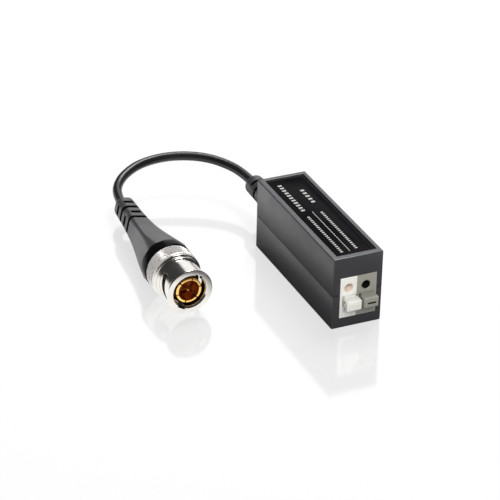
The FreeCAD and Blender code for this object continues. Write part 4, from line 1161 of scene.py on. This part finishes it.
nodeFinishes = {
    "white_clamp_spring": "springSteel",
    "grey_clamp_spring": "springSteel",
    "white_contact_bar": "tinnedMetal",
    "grey_contact_bar": "tinnedMetal",
    "circuit_board": "boardLaminate",
    "balun_core": "ferrite",
    "balun_primary_winding": "enamelledCopper",
    "balun_secondary_winding": "enamelledCopper",
    "surge_arrester": "tinnedMetal",
    "coupling_capacitor": "capacitorCoat",
    "resistor_pair": "resistorCoat",
    "signal_lead": "whiteNylon",
    "shield_lead": "tinnedMetal",
    "crimp_ferrule": "brightNickel",
    "retaining_ring": "springSteel",
    "thrust_washer": "springSteel",
    "spring_washer": "springSteel",
    "connector_body": "brightNickel",
    "sealing_gasket": "shadedGasketRubber",
}
for node, finish in nodeFinishes.items():
    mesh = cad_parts[node].data
    mesh.materials.clear()
    mesh.materials.append(finishes[finish])
coaxLead.data.materials.append(finishes["leadJacket"])


# Studio: pale floor, soft lights

studio = {
    "floorHalf": 2.5,
    "floorColour": (0.12, 0.12, 0.12),
    "floorGlow": 0.69,
    # what the object sees of the floor: a painted shadow close to the case, and painted shade towards the front
    "nearGlow": 0.04,
    "farGlow": 1.2,
    "nearEdge": 0.006,
    "nearFade": 0.022,
    "frontFade": 0.1,
    "world": (0.05, 0.05, 0.052),
    "lights": [
        # name, place, aim, width, height, power
        ("overhead", (0.36, 0.42, 1.12), (0, 0, 0.01), 0.55, 0.55, 17.0),
        ("frontFill", (-0.3, -1.05, 0.85), (0, 0, 0.01), 0.9, 0.6, 16.5),
    ],
    "hidden": ("frontFill",),
    "card": {"place": (0.68, 1.18, 0.6), "aim": (0, 0, 0.01), "width": 0.85, "height": 0.95, "glow": 1.3},
}


def floorGlow(tree, shader):
    # the camera sees a plain white floor, and reflections see it with a painted shadow close to the case and
    # painted shade towards the front
    rays = tree.nodes.new("ShaderNodeLightPath")
    where = tree.nodes.new("ShaderNodeNewGeometry")
    split = tree.nodes.new("ShaderNodeSeparateXYZ")
    link(tree, where.outputs["Position"], split.inputs[0])
    across = mathNode(tree, "ABSOLUTE", split.outputs["X"])
    side = mathNode(tree, "SUBTRACT", across, case["halfWidth"] * toMetres + studio["nearEdge"])
    reach = mathNode(
        tree, "ADD",
        mathNode(tree, "DIVIDE", side, studio["nearFade"]),
        mathNode(tree, "DIVIDE", split.outputs["Y"], studio["frontFade"]),
    )
    spread = tree.nodes.new("ShaderNodeMapRange")
    spread.interpolation_type = "SMOOTHSTEP"
    spread.inputs["To Min"].default_value = studio["nearGlow"]
    spread.inputs["To Max"].default_value = studio["farGlow"]
    link(tree, reach, spread.inputs["Value"])
    choose = tree.nodes.new("ShaderNodeMix")
    link(tree, rays.outputs["Is Camera Ray"], choose.inputs["Factor"])
    link(tree, spread.outputs["Result"], choose.inputs[2])
    choose.inputs[3].default_value = studio["floorGlow"]
    link(tree, choose.outputs[0], shader.inputs["Emission Strength"])


def stagePlane(name, wide, tall, place=None):
    bm = bmesh.new()
    bmesh.ops.create_grid(bm, x_segments=1, y_segments=1, size=0.5)
    bmesh.ops.scale(bm, vec=(wide, tall, 1), verts=bm.verts)
    if place is not None:
        bmesh.ops.transform(bm, matrix=place, verts=bm.verts)
    mesh = bpy.data.meshes.new(name)
    bm.to_mesh(mesh)
    bm.free()
    plane = bpy.data.objects.new(name, mesh)
    scene.collection.objects.link(plane)
    return mesh


def facing(at, aim):
    return (Vector(aim) - Vector(at)).to_track_quat("-Z", "Y")


def addStudio():
    mesh = stagePlane("floor", 2 * studio["floorHalf"], 2 * studio["floorHalf"])
    material, tree, shader = newMaterial("paleFloor", {
        "Base Color": rgba(studio["floorColour"]), "Roughness": 0.1, "Specular IOR Level": 1.0,
        "Emission Color": (1, 1, 1, 1),
    })
    floorGlow(tree, shader)
    mesh.materials.append(material)
    # a lit card behind the object, which the metal and the floor mirror
    card = studio["card"]
    turn = facing(card["place"], card["aim"]).to_matrix().to_4x4()
    mesh = stagePlane("rearCard", card["width"], card["height"], Matrix.Translation(card["place"]) @ turn)
    material, tree, shader = newMaterial("litCard", {
        "Base Color": (0, 0, 0, 1), "Emission Color": (1, 1, 1, 1), "Emission Strength": card["glow"],
    })
    mesh.materials.append(material)
    world = bpy.data.worlds.new("studio")
    world.use_nodes = True
    world.node_tree.nodes["Background"].inputs["Color"].default_value = rgba(studio["world"])
    scene.world = world
    for name, at, aim, wide, tall, power in studio["lights"]:
        data = bpy.data.lights.new(name, "AREA")
        data.shape = "RECTANGLE"
        data.size, data.size_y, data.energy = wide, tall, power
        lamp = bpy.data.objects.new(name, data)
        lamp.location = at
        lamp.rotation_mode = "QUATERNION"
        lamp.rotation_quaternion = facing(at, aim)
        lamp.visible_glossy = name not in studio["hidden"]
        scene.collection.objects.link(lamp)


addStudio()
print("studio lit")
